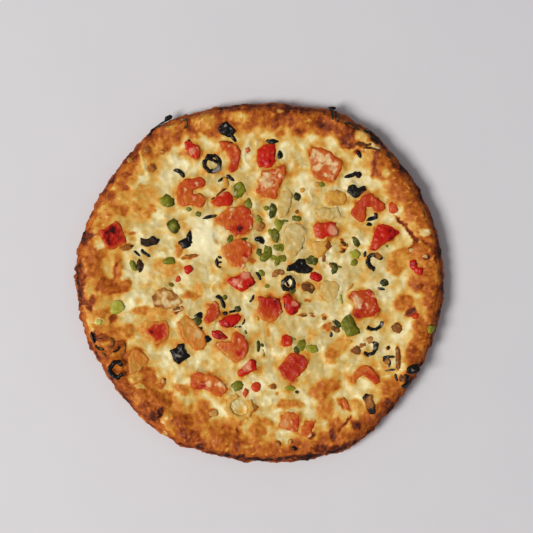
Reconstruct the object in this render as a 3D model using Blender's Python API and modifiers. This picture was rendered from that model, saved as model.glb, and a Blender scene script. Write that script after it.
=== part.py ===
"""A round vegetarian pizza: a raised crust, a melted cheese layer with small vegetable pieces
baked into it, and the larger slices of vegetable as solids of their own.

Metres, +Z up, the origin at the middle of the flat underside. Seen from above, +Y is the far side.
"""

import math
import random

import bmesh
import bpy
from mathutils import Quaternion, Vector, noise

MM = 0.001
CRUST_GAP = 0.35 * MM
PIECE_GAP = 0.5 * MM
WELD_DISTANCE = 0.01 * MM
SLIVER_WIDTH = 0.004 * MM

# Crust: a flat round of dough with a raised rim
CRUST_RADIUS = 134.8 * MM
CRUST_STEPS = 104
BED_HEIGHT = 8.5 * MM
RIM_HEIGHT = 15.8 * MM
RIM_INNER_EDGE = 20 * MM
RIM_CROWN = 8 * MM
RIM_UNEVEN = 1.1 * MM
RIM_UNEVEN_LENGTH = 34 * MM
CRAG_DEPTH = 2.2 * MM
CRAG_LENGTH = 7 * MM

# The hand-stretched outline: lobes round the edge, their swell and their direction in degrees
OUTLINE_SWELLS = (
    (1, 2.7 * MM, 7),
    (2, 0.8 * MM, -15),
    (3, 1.2 * MM, 44),
    (4, 0.6 * MM, 33),
    (6, 1.1 * MM, -1),
)

# Places where the edge bulges out: direction and half width in degrees, and how far
OUTLINE_BULGES = (
    (54, 4, 2 * MM),
    (66, 4, 3 * MM),
    (122, 5, 2.5 * MM),
    (197, 5, 1.5 * MM),
    (245, 4, 1.5 * MM),
    (298, 5, 2 * MM),
    (338, 6, 1.5 * MM),
)

# The crust's section as (distance in from the outline, height), from the bed over the rim to the base
UPPER_SECTION = (
    (22 * MM, BED_HEIGHT),
    (13 * MM, RIM_HEIGHT - 3 * MM),
    (8.5 * MM, RIM_HEIGHT),
    (4.5 * MM, RIM_HEIGHT - 0.3 * MM),
)
OUTER_SECTION = (
    (1.3 * MM, 12.4 * MM),
    (0, 8.2 * MM),
    (0.9 * MM, 3.8 * MM),
    (4.5 * MM, 0),
)

# Cheese: its upper surface as (distance in from the outline, height)
CHEESE_SECTION = (
    (3.2 * MM, 16.6 * MM),
    (8 * MM, 18.3 * MM),
    (14 * MM, 17.2 * MM),
    (22 * MM, 14.8 * MM),
    (36 * MM, 13.9 * MM),
    (70 * MM, 13.5 * MM),
)
CHEESE_EDGE = 3.6 * MM
CHEESE_EDGE_UNEVEN = 1.4 * MM
CHEESE_CELLS = 26
CHEESE_DEPTH = 9 * MM
SWELL_HEIGHT = 0.8 * MM
SWELL_LENGTH = 27 * MM
LUMP_HEIGHT = 0.5 * MM
LUMP_LENGTH = 10 * MM

# Puffed places in the cheese as (x, y, radius, height) in millimetres: a fresh-cheese mound, then blisters
PUFFS = (
    (-37, 31, 13, 2.6),
    (-106, -6, 10, 1.6),
    (-100, 9, 8, 1.2),
    (-90, 60, 9, 1.4),
    (-79, 85, 9, 1.3),
    (-97, -36, 7, 1.2),
    (-48, -10, 8, 1.0),
    (-5, 121, 9, 1.3),
    (31, 118, 9, 1.3),
    (101, 11, 8, 1.3),
    (105, -16, 9, 1.6),
    (118, -2, 7, 1.2),
    (92, 82, 9, 1.3),
    (109, 62, 9, 1.2),
    (57, -53, 8, 1.4),
    (47, -76, 9, 1.4),
    (64, -100, 8, 1.5),
    (4, -109, 9, 1.4),
    (-24, -116, 9, 1.3),
    (-39, -100, 8, 1.6),
    (-56, -99, 8, 1.6),
    (-74, -96, 8, 1.3),
    (-56, -80, 8, 1.1),
    (-31, -88, 8, 1.2),
)

# How far a vegetable piece stands out of the cheese and how far it sinks in
PROUD = 1.9 * MM
SINK_MOST = 2.8 * MM
SINK_LEAST = 0.5 * MM
COVER_LEFT = 0.7 * MM
EDGE_ROUND = 0.8 * MM
LEAN = 5
SEAT_REACH = 0.27

# Cut pieces, each by the corners of its outline from above, in millimetres
PIECES = {
    "tomato": (
        ((-26, 41.5), (-16, 34), (-9, 35.5), (-4, 39), (-2.5, 46.5), (-5, 53), (-10.5, 56),
         (-19.5, 55), (-24.5, 52), (-30, 46.5)),
        ((-0.5, 67.5), (-0.5, 64.5), (13, 61), (21, 81), (20, 86.5), (3.5, 81)),
        ((38.5, 86.5), (41, 78), (46, 75), (53.5, 73.5), (57.5, 75), (63, 84.5), (62, 89),
         (55.5, 94.5), (47.5, 98.5), (41, 99.5), (38, 98)),
        ((-111.5, 25.5), (-106, 23.5), (-96.5, 30), (-99.5, 40.5), (-103.5, 44.5), (-117, 37)),
        ((-74.5, -46.5), (-65, -40.5), (-64.5, -34), (-67.5, -28), (-79, -29.5), (-83.5, -34.5)),
        ((-54, -42), (-45, -50.5), (-40, -50), (-38, -46.5), (-38, -39), (-48, -27),
         (-53.5, -24.5), (-59, -30)),
        ((-24.5, 19), (-19.5, 13), (-10, 9), (-8.5, 14), (-5, 18.5), (-4, 24.5), (-7, 30),
         (-13, 31.5), (-18, 31), (-26, 25.5)),
        ((-38.5, -27), (-36.5, -30), (-32, -30), (-29, -26.5), (-28, -21.5), (-28.5, -15.5),
         (-31, -14), (-35.5, -17.5)),
        ((-27.5, -50.5), (-16, -59.5), (-10.5, -57.5), (-7, -51.5), (-7, -45.5), (-10, -39.5),
         (-14.5, -36), (-18, -38), (-19.5, -44), (-26, -43.5), (-30.5, -45.5)),
        ((1, -16), (0.5, -22), (4, -28), (9, -29.5), (15, -26.5), (18.5, -22), (16.5, -12),
         (0, -10.5)),
        ((20, -70), (26, -73.5), (36.5, -63), (38, -58), (28.5, -51.5), (24.5, -53), (14.5, -63)),
        ((72.5, -16), (70, -21.5), (72.5, -27), (85.5, -25), (90, -21.5), (85.5, -8), (82, -5),
         (71.5, -6.5), (66.5, -10.5)),
        ((-49, -77), (-37, -79.5), (-27, -84.5), (-21.5, -79.5), (-25.5, -73.5), (-31, -69),
         (-39.5, -67.5), (-44.5, -65), (-49, -69)),
        ((16, -107), (30, -111.5), (31, -101.5), (30, -96.5), (23, -95.5), (17.5, -98.5)),
        ((38.5, -114.5), (43, -102), (39.5, -101.5), (35, -102.5), (32.5, -106.5), (32.5, -113)),
        ((-93.5, -67), (-90, -67), (-84, -63), (-79.5, -58), (-81, -53.5), (-86.5, -50),
         (-91, -49), (-94.5, -52), (-95.5, -57.5)),
        ((-59.5, 59), (-57, 56), (-49.5, 56.5), (-42.5, 55), (-38, 56.5), (-38, 61.5), (-43, 65),
         (-48, 64.5), (-48, 67.5), (-40, 69.5), (-38, 73.5), (-41.5, 77), (-53.5, 75.5),
         (-57.5, 71.5)),
        ((-26, 98), (-21.5, 94), (-19.5, 89), (-21.5, 84), (-19.5, 81), (-14.5, 82.5),
         (-12, 95.5), (-14.5, 100), (-18.5, 102.5), (-24.5, 104), (-29, 103)),
        ((76, 43.5), (79.5, 45), (79.5, 56), (84, 56), (88.5, 52), (93, 53.5), (93, 57.5),
         (85, 64.5), (81, 65), (73, 59), (68, 50)),
        ((71, -75), (74, -70.5), (78.5, -68.5), (86.5, -75.5), (91, -73), (83.5, -62.5),
         (78.5, -60.5), (74.5, -62.5), (68, -72)),
    ),
    "red_pepper": (
        ((0, 89), (2, 84), (10.5, 84.5), (13.5, 89), (13, 102), (3.5, 100.5), (0, 97)),
        ((-52.5, 98), (-46, 90), (-42.5, 91), (-41.5, 95.5), (-43.5, 100), (-51, 104), (-54, 102)),
        ((-30.5, 56), (-20, 56), (-17.5, 59), (-18, 63), (-21, 66.5), (-26, 65.5), (-34, 58.5)),
        ((-20, -2), (-12, -7.5), (-8.5, -6), (-1, 0.5), (-6, 7), (-10.5, 7.5), (-15, 4),
         (-19.5, 3.5), (-22.5, 1)),
        ((-27, -32.5), (-23, -34), (-17.5, -33), (-13, -28.5), (-11.5, -25), (-14.5, -23),
         (-21, -24.5), (-28, -28.5)),
        ((-14.5, -69), (-12, -70), (-0.5, -64.5), (-1, -58), (-5.5, -56.5), (-14, -66)),
        ((21, -22), (24.5, -24.5), (28.5, -23), (31, -18.5), (30.5, -15.5), (22.5, -9),
         (18.5, -11)),
        ((42.5, 33), (47.5, 32), (59, 34), (59, 39.5), (57.5, 44.5), (44.5, 43.5), (41, 40.5)),
        ((17.5, -44), (19.5, -47.5), (24, -48), (26, -44), (24.5, -40.5), (21, -38.5),
         (17.5, -40.5)),
        ((82.5, 23.5), (87, 23.5), (104.5, 35.5), (104, 37.5), (93, 42.5), (89.5, 42),
         (86.5, 37.5)),
        ((112, 11), (116.5, 4.5), (121.5, 5), (121.5, 9.5), (118, 12), (116.5, 16.5), (112, 16)),
    ),
    "olive": (
        ((-27, 109.5), (-23, 106.5), (-19.5, 106), (-17.5, 108), (-16, 111.5), (-19.5, 116),
         (-23, 118), (-26, 117), (-28.5, 113)),
        ((66.5, 66), (70, 63), (74, 62), (79.5, 67.5), (78.5, 70), (74, 69.5), (70, 72.5),
         (66.5, 70)),
        ((29, 7.5), (34, 6), (39.5, 7), (41, 9.5), (36.5, 12.5), (34, 17), (30.5, 17.5), (27, 14),
         (22.5, 12.5), (21.5, 8)),
        ((-61.5, -58), (-57, -60.5), (-49.5, -54.5), (-53.5, -50), (-54, -45.5), (-58.5, -45),
         (-60, -48.5), (-64.5, -50.5)),
        ((113, -68), (117, -67), (119.5, -64), (118, -61), (113.5, -60.5), (110, -62),
         (108.5, -66)),
    ),
    "green_pepper": (
        ((-70, 56), (-66, 54.5), (-61.5, 57.5), (-62, 61), (-66.5, 64.5), (-73, 60.5)),
        ((-17.5, 64.5), (-15, 61), (-11.5, 62.5), (-8.5, 67), (-9.5, 71.5), (-13, 74), (-18, 70)),
        ((66, -40.5), (76, -37.5), (69.5, -25.5), (67.5, -23), (64.5, -25.5), (61.5, -31)),
        ((10, 32.5), (11.5, 28.5), (14.5, 28.5), (16.5, 34), (16, 39), (12, 40), (10, 37)),
        ((-64.5, 37.5), (-60, 35.5), (-57.5, 40.5), (-58.5, 45), (-62, 46.5), (-66, 45),
         (-66.5, 41)),
    ),
    "onion": (
        ((15, 52), (17.5, 47), (21.5, 48.5), (24, 54.5), (25.5, 65.5), (22.5, 68), (18, 67),
         (15.5, 61.5)),
        ((19.5, 26.5), (23, 20.5), (28.5, 19), (32, 23.5), (35, 30), (35, 37.5), (32.5, 43),
         (27, 43.5), (21, 41), (19, 34.5)),
        ((51, 57.5), (57, 56), (64.5, 56.5), (66, 61.5), (64.5, 66), (58.5, 67.5), (52, 67),
         (49.5, 63)),
        ((44.5, 48), (53.5, 45.5), (60.5, 46), (61.5, 50.5), (59, 54.5), (47.5, 54.5), (42.5, 53)),
        ((41, 20.5), (44.5, 17), (52.5, 23), (55, 26.5), (52, 30), (44.5, 30.5), (40, 28.5)),
        ((45, -8), (49, -13), (55, -14.5), (59, -10.5), (60.5, -3.5), (57.5, 1), (51, 1.5),
         (46, -1.5)),
    ),
    "mushroom": (
        ((-75.5, -18.5), (-67.5, -20), (-60, -19), (-55, -15.5), (-57, -10.5), (-68.5, -3.5),
         (-73, -6), (-77.5, -11)),
        ((-85.5, 27.5), (-80.5, 25.5), (-74.5, 28), (-72.5, 31), (-77.5, 33.5), (-82.5, 31.5),
         (-87, 32.5)),
        ((32.5, -5), (35.5, -7.5), (41, -8.5), (42.5, -5), (39.5, -2), (35.5, -0.5), (32.5, -2)),
        ((82, -97), (86.5, -97), (87.5, -93.5), (83.5, -82.5), (79.5, -82), (77, -84.5)),
    ),
}

# Bent pieces as (x, y, bend radius, half thickness, first angle, sweep in degrees), in millimetres.
# A sweep of 360 is a closed ring.
ROUNDS = {
    "olive": (
        (-33, 87, 5.9, 2.1, 0, 360),
        (23, -1, 4.6, 1.8, 0, 360),
        (86, 15, 5.5, 2.1, 20, 250),
        (85, -29, 6.2, 1.9, 225, 135),
        (82, -48, 5.6, 1.9, 225, 195),
        (-103, -64, 5.4, 2.0, 40, 280),
    ),
    "onion": ((-13, -92, 8.6, 2.6, 100, 300),),
}
ROUND_STEP = 42
ROUND_WANDER = 0.06
ROUND_SINK = 1.1

# Small bits baked into the cheese as (x, y, size, height above the cheese), in millimetres
BITS = (
    (-52, 8, 7, 1.2),
    (100, 54, 9, 1.5),
    (43, 4, 9, 1.5),
    (-53, 29, 9, 1.5),
    (-28, -41, 8, 1.4),
    (102, -33, 7, 1.3),
    (-1, -77, 7, 1.2),
    (-7, 57, 7, 1.2),
    (28, 63, 7, 1.2),
    (27, 46, 7, 1.1),
    (3, 20, 8, 1.3),
    (15, 24, 6, 1.0),
    (39, 15, 8, 1.2),
    (72, 20, 8, 1.2),
    (73, 30, 7, 1.0),
    (58, 10, 8, 1.2),
    (91, -2, 8, 1.2),
    (40, -49, 8, 1.2),
    (32, -46, 6, 1.1),
    (-16, -77, 8, 1.2),
    (24, -78, 8, 1.0),
    (1, -50, 7, 1.2),
    (-65, 15, 8, 1.1),
    (-103, -20, 9, 1.2),
    (-89, 12, 9, 1.2),
    (-85, 21, 9, 1.1),
    (57, -35, 8, 1.2),
    (-35, 48, 8, 1.1),
    (-55, 80, 6, 1.1),
    (-27, 76, 6, 1.0),
    (1, 1, 7, 1.2),
    (-5, -12, 6, 0.9),
    (14, 105, 7, 1.2),
    (75, 79, 7, 1.2),
    (75, 93, 7, 1.2),
    (-28, 15, 6, 1.0),
    (-28, -11, 8, 1.2),
    (-36, -42, 6, 1.1),
    (-45, -25, 7, 1.2),
    (95, -59, 8, 1.2),
    (84, 46, 7, 1.1),
    (107, -74, 8, 1.2),
    (80, 108, 8, 1.4),
    (-71, 113, 9, 1.2),
    (54, 121, 8, 1.4),
    (-120, -41, 7, 1.3),
    (68, -4, 8, 1.6),
    (62, 27, 8, 1.0),
    (-68, -113, 6, 1.2),
)

BIT_ROOT = 2 * MM
BIT_SIDES = 5
BIT_TAPER = 0.75

# Principled base colours and roughness
MATERIALS = {
    "crust": ((0.42, 0.17, 0.045), 0.7),
    "cheese": ((0.74, 0.51, 0.2), 0.42),
    "tomato": ((0.55, 0.1, 0.025), 0.35),
    "red_pepper": ((0.52, 0.03, 0.012), 0.3),
    "olive": ((0.012, 0.01, 0.01), 0.3),
    "green_pepper": ((0.2, 0.2, 0.03), 0.4),
    "onion": ((0.55, 0.42, 0.17), 0.35),
    "mushroom": ((0.4, 0.2, 0.07), 0.5),
}


def outline_radius(angle):
    """The crust's radius in a direction."""
    radius = CRUST_RADIUS
    for lobes, size, towards in OUTLINE_SWELLS:
        radius += size * math.cos(lobes * angle - math.radians(lobes * towards))
    for towards, half_width, size in OUTLINE_BULGES:
        away = (math.degrees(angle) - towards + 180) % 360 - 180
        radius += size * math.exp(-((away / half_width) ** 2))
    return radius


def inset(x, y):
    """How far a place lies in from the crust's outline."""
    return outline_radius(math.atan2(y, x)) - math.hypot(x, y)


def unevenness(x, y, length):
    """A smooth random value from -1 to 1 that changes over the given length."""
    return noise.noise(Vector((x, y, 0)) / length)


def section_height(section, distance):
    """The height along a section given as (distance in, height)."""
    points = sorted(section)
    if distance <= points[0][0]:
        return points[0][1]
    for (near, low), (far, high) in zip(points, points[1:]):
        if distance <= far:
            part = (distance - near) / (far - near)
            return low + (high - low) * part
    return points[-1][1]


def rim_swell(x, y):
    """How much the baked rim stands above or below its even height."""
    past_crown = max(0, inset(x, y) - RIM_CROWN) / (RIM_INNER_EDGE - RIM_CROWN)
    return RIM_UNEVEN * max(0, 1 - past_crown) * unevenness(x, y, RIM_UNEVEN_LENGTH)


def crust_height(x, y):
    return section_height(UPPER_SECTION, inset(x, y)) + rim_swell(x, y)


def cheese_height(x, y):
    """The height of the cheese's upper surface."""
    distance = inset(x, y)
    height = section_height(CHEESE_SECTION, distance) + rim_swell(x, y)
    calm = min(1, distance / RIM_INNER_EDGE)
    height += SWELL_HEIGHT * calm * unevenness(x, y, SWELL_LENGTH)
    height += LUMP_HEIGHT * calm * unevenness(y, x, LUMP_LENGTH)
    for puff_x, puff_y, radius, rise in PUFFS:
        away = math.hypot(x / MM - puff_x, y / MM - puff_y) / radius
        height += rise * MM * max(0, 1 - away * away) ** 1.5
    return height


def make_material(name):
    colour, roughness = MATERIALS[name]
    material = bpy.data.materials.new(name)
    material.use_nodes = True
    shader = material.node_tree.nodes["Principled BSDF"]
    shader.inputs["Base Color"].default_value = (*colour, 1)
    shader.inputs["Roughness"].default_value = roughness
    shader.inputs["Metallic"].default_value = 0
    return material


def add_object(name, data, collection):
    obj = bpy.data.objects.new(name, data)
    collection.objects.link(obj)
    return obj


def finished_mesh(obj):
    """The mesh of an object with its modifiers or its curve's thickness carried out."""
    graph = bpy.context.evaluated_depsgraph_get()
    return bpy.data.meshes.new_from_object(obj.evaluated_get(graph))


def apply_modifiers(obj):
    mesh = finished_mesh(obj)
    obj.modifiers.clear()
    obj.data = mesh


def solid_from_curve(name, curve, collection):
    """A curve's thick shape as a closed mesh object."""
    guide = add_object(name + "_guide", curve, collection)
    mesh = finished_mesh(guide)
    bpy.data.objects.remove(guide)
    shape = bmesh.new()
    shape.from_mesh(mesh)
    bmesh.ops.remove_doubles(shape, verts=shape.verts, dist=WELD_DISTANCE)
    bmesh.ops.recalc_face_normals(shape, faces=shape.faces)
    shape.to_mesh(mesh)
    shape.free()
    return add_object(name, mesh, collection)


def make_crust(collection):
    """The dough: its section turned round, then pulled out to the uneven outline and rim."""
    points = [(0, BED_HEIGHT)]
    points += [(CRUST_RADIUS - distance, height) for distance, height in UPPER_SECTION + OUTER_SECTION]
    points.append((0, 0))
    mesh = bpy.data.meshes.new("crust")
    edges = [(index, index + 1) for index in range(len(points) - 1)]
    mesh.from_pydata([(radius, 0, height) for radius, height in points], edges, [])
    crust = add_object("crust", mesh, collection)
    screw = crust.modifiers.new("turned", "SCREW")
    screw.steps = CRUST_STEPS
    screw.render_steps = CRUST_STEPS
    screw.use_merge_vertices = True
    screw.merge_threshold = WELD_DISTANCE
    apply_modifiers(crust)
    for vertex in crust.data.vertices:
        x, y, z = vertex.co
        radius = math.hypot(x, y)
        if radius == 0:
            continue
        angle = math.atan2(y, x)
        reach = radius - CRUST_RADIUS + outline_radius(angle)
        if radius > CRUST_RADIUS - CHEESE_EDGE:
            reach += CRAG_DEPTH * noise.noise(Vector((x, y, 3 * z)) / CRAG_LENGTH)
        vertex.co.x = reach * math.cos(angle)
        vertex.co.y = reach * math.sin(angle)
        if z > 0:
            vertex.co.z = z + rim_swell(vertex.co.x, vertex.co.y)
    return crust


def make_cheese(collection):
    """The cheese as a block: a square grid drawn out to a round and lifted to its heights."""
    shape = bmesh.new()
    bmesh.ops.create_grid(shape, x_segments=CHEESE_CELLS, y_segments=CHEESE_CELLS, size=1)
    for vertex in shape.verts:
        u, v, _ = vertex.co
        ring = max(abs(u), abs(v))
        if ring == 0:
            angle = 0
        elif abs(u) >= abs(v):
            angle = math.pi / 4 * v / u + (math.pi if u < 0 else 0)
        else:
            angle = math.pi / 2 - math.pi / 4 * u / v + (math.pi if v < 0 else 0)
        edge = outline_radius(angle) - CHEESE_EDGE
        wander = unevenness(edge * math.cos(angle), edge * math.sin(angle), LUMP_LENGTH)
        edge += CHEESE_EDGE_UNEVEN * (wander - 0.5)
        x = ring * edge * math.cos(angle)
        y = ring * edge * math.sin(angle)
        vertex.co = (x, y, cheese_height(x, y))
    bmesh.ops.triangulate(shape, faces=shape.faces)
    mesh = bpy.data.meshes.new("cheese")
    shape.to_mesh(mesh)
    shape.free()
    cheese = add_object("cheese", mesh, collection)
    thickness = cheese.modifiers.new("depth", "SOLIDIFY")
    thickness.thickness = CHEESE_DEPTH
    thickness.offset = -1
    return cheese


def seat(x, y, reach):
    """How deep a piece sinks at a place, and the tilt that lays it along the cheese."""
    around = [math.tau * number / 8 for number in range(8)]
    spots = [(x + reach * math.cos(angle), y + reach * math.sin(angle)) for angle in around]
    cover = min(cheese_height(*spot) - crust_height(*spot) for spot in spots)
    sink = max(SINK_LEAST, min(SINK_MOST, cover - COVER_LEFT))
    step = max(reach, 4 * MM)
    slope_x = (cheese_height(x + step, y) - cheese_height(x - step, y)) / (2 * step)
    slope_y = (cheese_height(x, y + step) - cheese_height(x, y - step)) / (2 * step)
    tilt = Vector((0, 0, 1)).rotation_difference(Vector((-slope_x, -slope_y, 1)))
    return sink, tilt


def place(obj, x, y, height, tilt, turn, draw):
    """Lays an object along the cheese, turned about its upright and leaning a little."""
    lean = Quaternion((1, 0, 0), math.radians(draw.uniform(-LEAN, LEAN)))
    obj.location = (x, y, height)
    obj.rotation_mode = "QUATERNION"
    obj.rotation_quaternion = tilt @ lean @ Quaternion((0, 0, 1), turn)


def make_piece(name, outline, draw, collection):
    """A cut slice: its outline as a flat curve with rounded edges, laid on the cheese."""
    low = [min(corner[axis] for corner in outline) * MM for axis in (0, 1)]
    high = [max(corner[axis] for corner in outline) * MM for axis in (0, 1)]
    x = (low[0] + high[0]) / 2
    y = (low[1] + high[1]) / 2
    sink, tilt = seat(x, y, SEAT_REACH * (high[0] - low[0] + high[1] - low[1]))
    thickness = PROUD * draw.uniform(0.85, 1.2) + sink
    curve = bpy.data.curves.new(name, "CURVE")
    curve.dimensions = "2D"
    curve.fill_mode = "BOTH"
    curve.bevel_resolution = 0
    curve.bevel_depth = EDGE_ROUND
    curve.offset = -EDGE_ROUND
    curve.extrude = thickness / 2 - EDGE_ROUND
    spline = curve.splines.new("POLY")
    spline.points.add(len(outline) - 1)
    for target, corner in zip(spline.points, outline):
        target.co = (corner[0] * MM - x, corner[1] * MM - y, 0, 1)
    spline.use_cyclic_u = True
    piece = solid_from_curve(name, curve, collection)
    lift = cheese_height(x, y) - sink + thickness / 2
    place(piece, x, y, lift, tilt, 0, draw)
    return piece


def make_round(name, row, draw, collection):
    """A ring, or part of one, with a round section."""
    x, y, radius, half = (value * MM for value in row[:4])
    first, sweep = (math.radians(value) for value in row[4:])
    closed = sweep > 2 * math.pi - 0.01
    steps = max(4, round(math.degrees(sweep) / ROUND_STEP))
    count = steps if closed else steps + 1
    curve = bpy.data.curves.new(name, "CURVE")
    curve.dimensions = "3D"
    curve.bevel_resolution = 1
    curve.bevel_depth = half
    curve.use_fill_caps = True
    spline = curve.splines.new("POLY")
    spline.points.add(count - 1)
    for number, point in enumerate(spline.points):
        angle = first + sweep * number / steps
        away = radius * (1 + draw.uniform(-ROUND_WANDER, ROUND_WANDER))
        point.co = (away * math.cos(angle), away * math.sin(angle), 0, 1)
    spline.use_cyclic_u = closed
    ring = solid_from_curve(name, curve, collection)
    sink, tilt = seat(x, y, radius)
    lift = cheese_height(x, y) + half - min(sink, ROUND_SINK * half)
    place(ring, x, y, lift, tilt, 0, draw)
    return ring


def make_bit(row, draw, collection):
    """A small five-sided bit of vegetable that stands out of the cheese."""
    x, y, size, rise = (value * MM for value in row)
    shape = bmesh.new()
    bmesh.ops.create_cone(
        shape,
        cap_ends=True,
        segments=BIT_SIDES,
        radius1=size / 2,
        radius2=size / 2 * BIT_TAPER,
        depth=rise + BIT_ROOT,
    )
    bmesh.ops.scale(shape, vec=(1.1, draw.uniform(0.7, 1.0), 1), verts=shape.verts)
    mesh = bpy.data.meshes.new("bit")
    shape.to_mesh(mesh)
    shape.free()
    bit = add_object("bit", mesh, collection)
    _, tilt = seat(x, y, size / 2)
    place(bit, x, y, cheese_height(x, y) + (rise - BIT_ROOT) / 2, tilt, draw.uniform(0, math.pi), draw)


def grown_copy(obj, by, collection):
    """A cutter a little larger than a solid, so that what it cuts keeps clear of the solid."""
    cutter = add_object(obj.name + "_room", obj.data.copy(), collection)
    cutter.rotation_mode = obj.rotation_mode
    cutter.location = obj.location
    cutter.rotation_quaternion = obj.rotation_quaternion
    swell = cutter.modifiers.new("gap", "DISPLACE")
    swell.mid_level = 0
    swell.strength = by
    apply_modifiers(cutter)


def drop_scraps(obj):
    """Welds a mesh's slivers shut and keeps the largest of its separate bodies."""
    shape = bmesh.new()
    shape.from_mesh(obj.data)
    bmesh.ops.triangulate(shape, faces=shape.faces)
    bmesh.ops.remove_doubles(shape, verts=shape.verts, dist=SLIVER_WIDTH)
    unseen = set(shape.verts)
    bodies = []
    while unseen:
        body = set()
        edge = [unseen.pop()]
        while edge:
            vertex = edge.pop()
            body.add(vertex)
            for link in vertex.link_edges:
                other = link.other_vert(vertex)
                if other in unseen:
                    unseen.remove(other)
                    edge.append(other)
        bodies.append(body)
    bodies.sort(key=len)
    for body in bodies[:-1]:
        bmesh.ops.delete(shape, geom=list(body), context="VERTS")
    shape.to_mesh(obj.data)
    shape.free()


def combine(obj, operation, helpers, solver):
    """Joins a collection's solids to an object or cuts them from it, then removes them."""
    boolean = obj.modifiers.new(operation.lower(), "BOOLEAN")
    boolean.operation = operation
    boolean.operand_type = "COLLECTION"
    boolean.collection = helpers
    boolean.solver = solver
    apply_modifiers(obj)
    for helper in list(helpers.objects):
        bpy.data.objects.remove(helper)
    bpy.data.collections.remove(helpers)


def helper_collection(name):
    collection = bpy.data.collections.new(name)
    collection.hide_render = True
    bpy.context.scene.collection.children.link(collection)
    return collection


def main():
    for obj in list(bpy.data.objects):
        bpy.data.objects.remove(obj)
    pizza = bpy.data.collections.new("vegetarian_pizza")
    bpy.context.scene.collection.children.link(pizza)
    materials = {name: make_material(name) for name in MATERIALS}

    crust = make_crust(pizza)
    crust.data.materials.append(materials["crust"])

    toppings = []
    for kind in MATERIALS:
        makers = [(make_piece, row) for row in PIECES.get(kind, ())]
        makers += [(make_round, row) for row in ROUNDS.get(kind, ())]
        for number, (maker, row) in enumerate(makers, 1):
            draw = random.Random(kind + str(number))
            topping = maker(f"{kind}_{number:02d}", row, draw, pizza)
            topping.data.materials.append(materials[kind])
            toppings.append(topping)

    cheese = make_cheese(pizza)
    bits = helper_collection("bits")
    draw = random.Random("bits")
    for row in BITS:
        make_bit(row, draw, bits)
    combine(cheese, "UNION", bits, "EXACT")

    room = helper_collection("room")
    grown_copy(crust, CRUST_GAP, room)
    for topping in toppings:
        grown_copy(topping, PIECE_GAP, room)
    combine(cheese, "DIFFERENCE", room, "EXACT")
    drop_scraps(cheese)
    cheese.data.materials.append(materials["cheese"])


main()
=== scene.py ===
"""The looks of a round vegetarian pizza, built on its solids: melted and browned cheese, a baked
crust, glossy cut vegetables and the small bits baked into the cheese.

Places and sizes in the tables and maps are in millimetres, with +Y the far side and angles in
degrees anticlockwise seen from above. Objects are in metres.
"""

import itertools
import math

import bpy
import numpy as np
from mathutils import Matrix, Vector
from mathutils.bvhtree import BVHTree


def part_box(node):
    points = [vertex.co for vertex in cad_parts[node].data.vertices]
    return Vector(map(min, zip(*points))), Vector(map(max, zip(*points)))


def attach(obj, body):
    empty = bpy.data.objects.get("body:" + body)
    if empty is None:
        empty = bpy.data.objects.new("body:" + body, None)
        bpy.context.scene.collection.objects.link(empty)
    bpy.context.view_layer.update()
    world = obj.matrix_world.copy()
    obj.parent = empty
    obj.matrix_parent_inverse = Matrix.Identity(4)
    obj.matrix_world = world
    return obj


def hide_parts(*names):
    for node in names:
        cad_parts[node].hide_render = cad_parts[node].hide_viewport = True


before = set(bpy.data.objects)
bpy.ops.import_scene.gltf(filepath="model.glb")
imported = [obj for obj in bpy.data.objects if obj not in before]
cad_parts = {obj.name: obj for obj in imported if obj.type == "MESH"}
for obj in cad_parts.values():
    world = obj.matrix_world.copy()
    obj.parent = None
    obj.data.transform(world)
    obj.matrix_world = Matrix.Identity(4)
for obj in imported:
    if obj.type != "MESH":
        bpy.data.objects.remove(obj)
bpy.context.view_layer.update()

MM = 0.001

# Maps over the pizza: the step between their places and how far they reach from the middle
MAP_STEP = 0.75
MAP_REACH = 142.5

# How far the distances to the cut pieces are worked out, outside and inside their outlines, the
# width of their rounded edges, and how many steps their tops are carried out round them
OUTSIDE_REACH = 9
INSIDE_REACH = 14
ROUNDED_EDGE = 1.3
CARRY_STEPS = 15

# How far round a piece, a large bit, a small bit and a strip the cheese's solid isn't followed,
# the half length that makes a bit large, and how the holes are filled
PIECE_CLEARED = 1.6
LARGE_BIT_CLEARED = 6
SMALL_BIT_CLEARED = 2
STRIP_CLEARED = 4
LARGE_BIT = 2.2
HEAL_REACH = 7
HEAL_ROUNDS = 160
NO_POCKET = 40.0

# The crust's outline: how many directions and how many of them it is smoothed over, at what
# height and from how far out the rays look, where a ray starts, and the range and step of
# distances in which the cheese's end is looked for
OUTLINE_STEPS = 900
OUTLINE_SMOOTHING = 7
OUTLINE_HEIGHT = 8.2
OUTLINE_FROM = 100
RAY_START = 60
CHEESE_END_SEARCH = (124, 137, 0.25)

# The crust's section: the middle it is measured from, its slopes from the inside over the rim to
# the foot, and the flat bed and base that close it
SECTION_RADIUS = 6.0
SECTION_HEIGHT = 9.0
SECTION_SLOPES = np.radians(np.concatenate((np.linspace(128, 20, 20), np.linspace(14, -57, 15))))
BED_INSET = 22.5
BED_HEIGHT = 8.4
BASE_INSET = 5.2

# The cheese: cells along its grid, how far its edge thins out and how high it stands there, and
# the loops and gap with which it lies over the crust
CHEESE_CELLS = 304
CHEESE_LIP = 2.4
LIP_HEIGHT = 0.05
UNDER_INSETS = (6.5, 9, 13.5, 22.5)
UNDER_GAP = 0.35
CLING_WIDTH = 2.4
STRAND_RISE = 0.55
FRESH_MOUND = (-38, 33, 16, 14, 20)

# The cut pieces: the size of their mesh, how much of their solid's own form they keep, the depths
# inside the outline between which its tone fades, and how far their sides wander
REMESH_SIZE = 0.58
KEEP_FORM = 0.7
OUTLINE_TONE = (3.8, 0.8)
SIDEWAYS = 0.9

# The small bits: points round one, rings of a chunk, and the step along a strip
BIT_ROUND = 16
CHUNK_ROWS = 7
AROUND = np.arange(BIT_ROUND) * math.tau / BIT_ROUND
STRIP_STEP = 0.6

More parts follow.
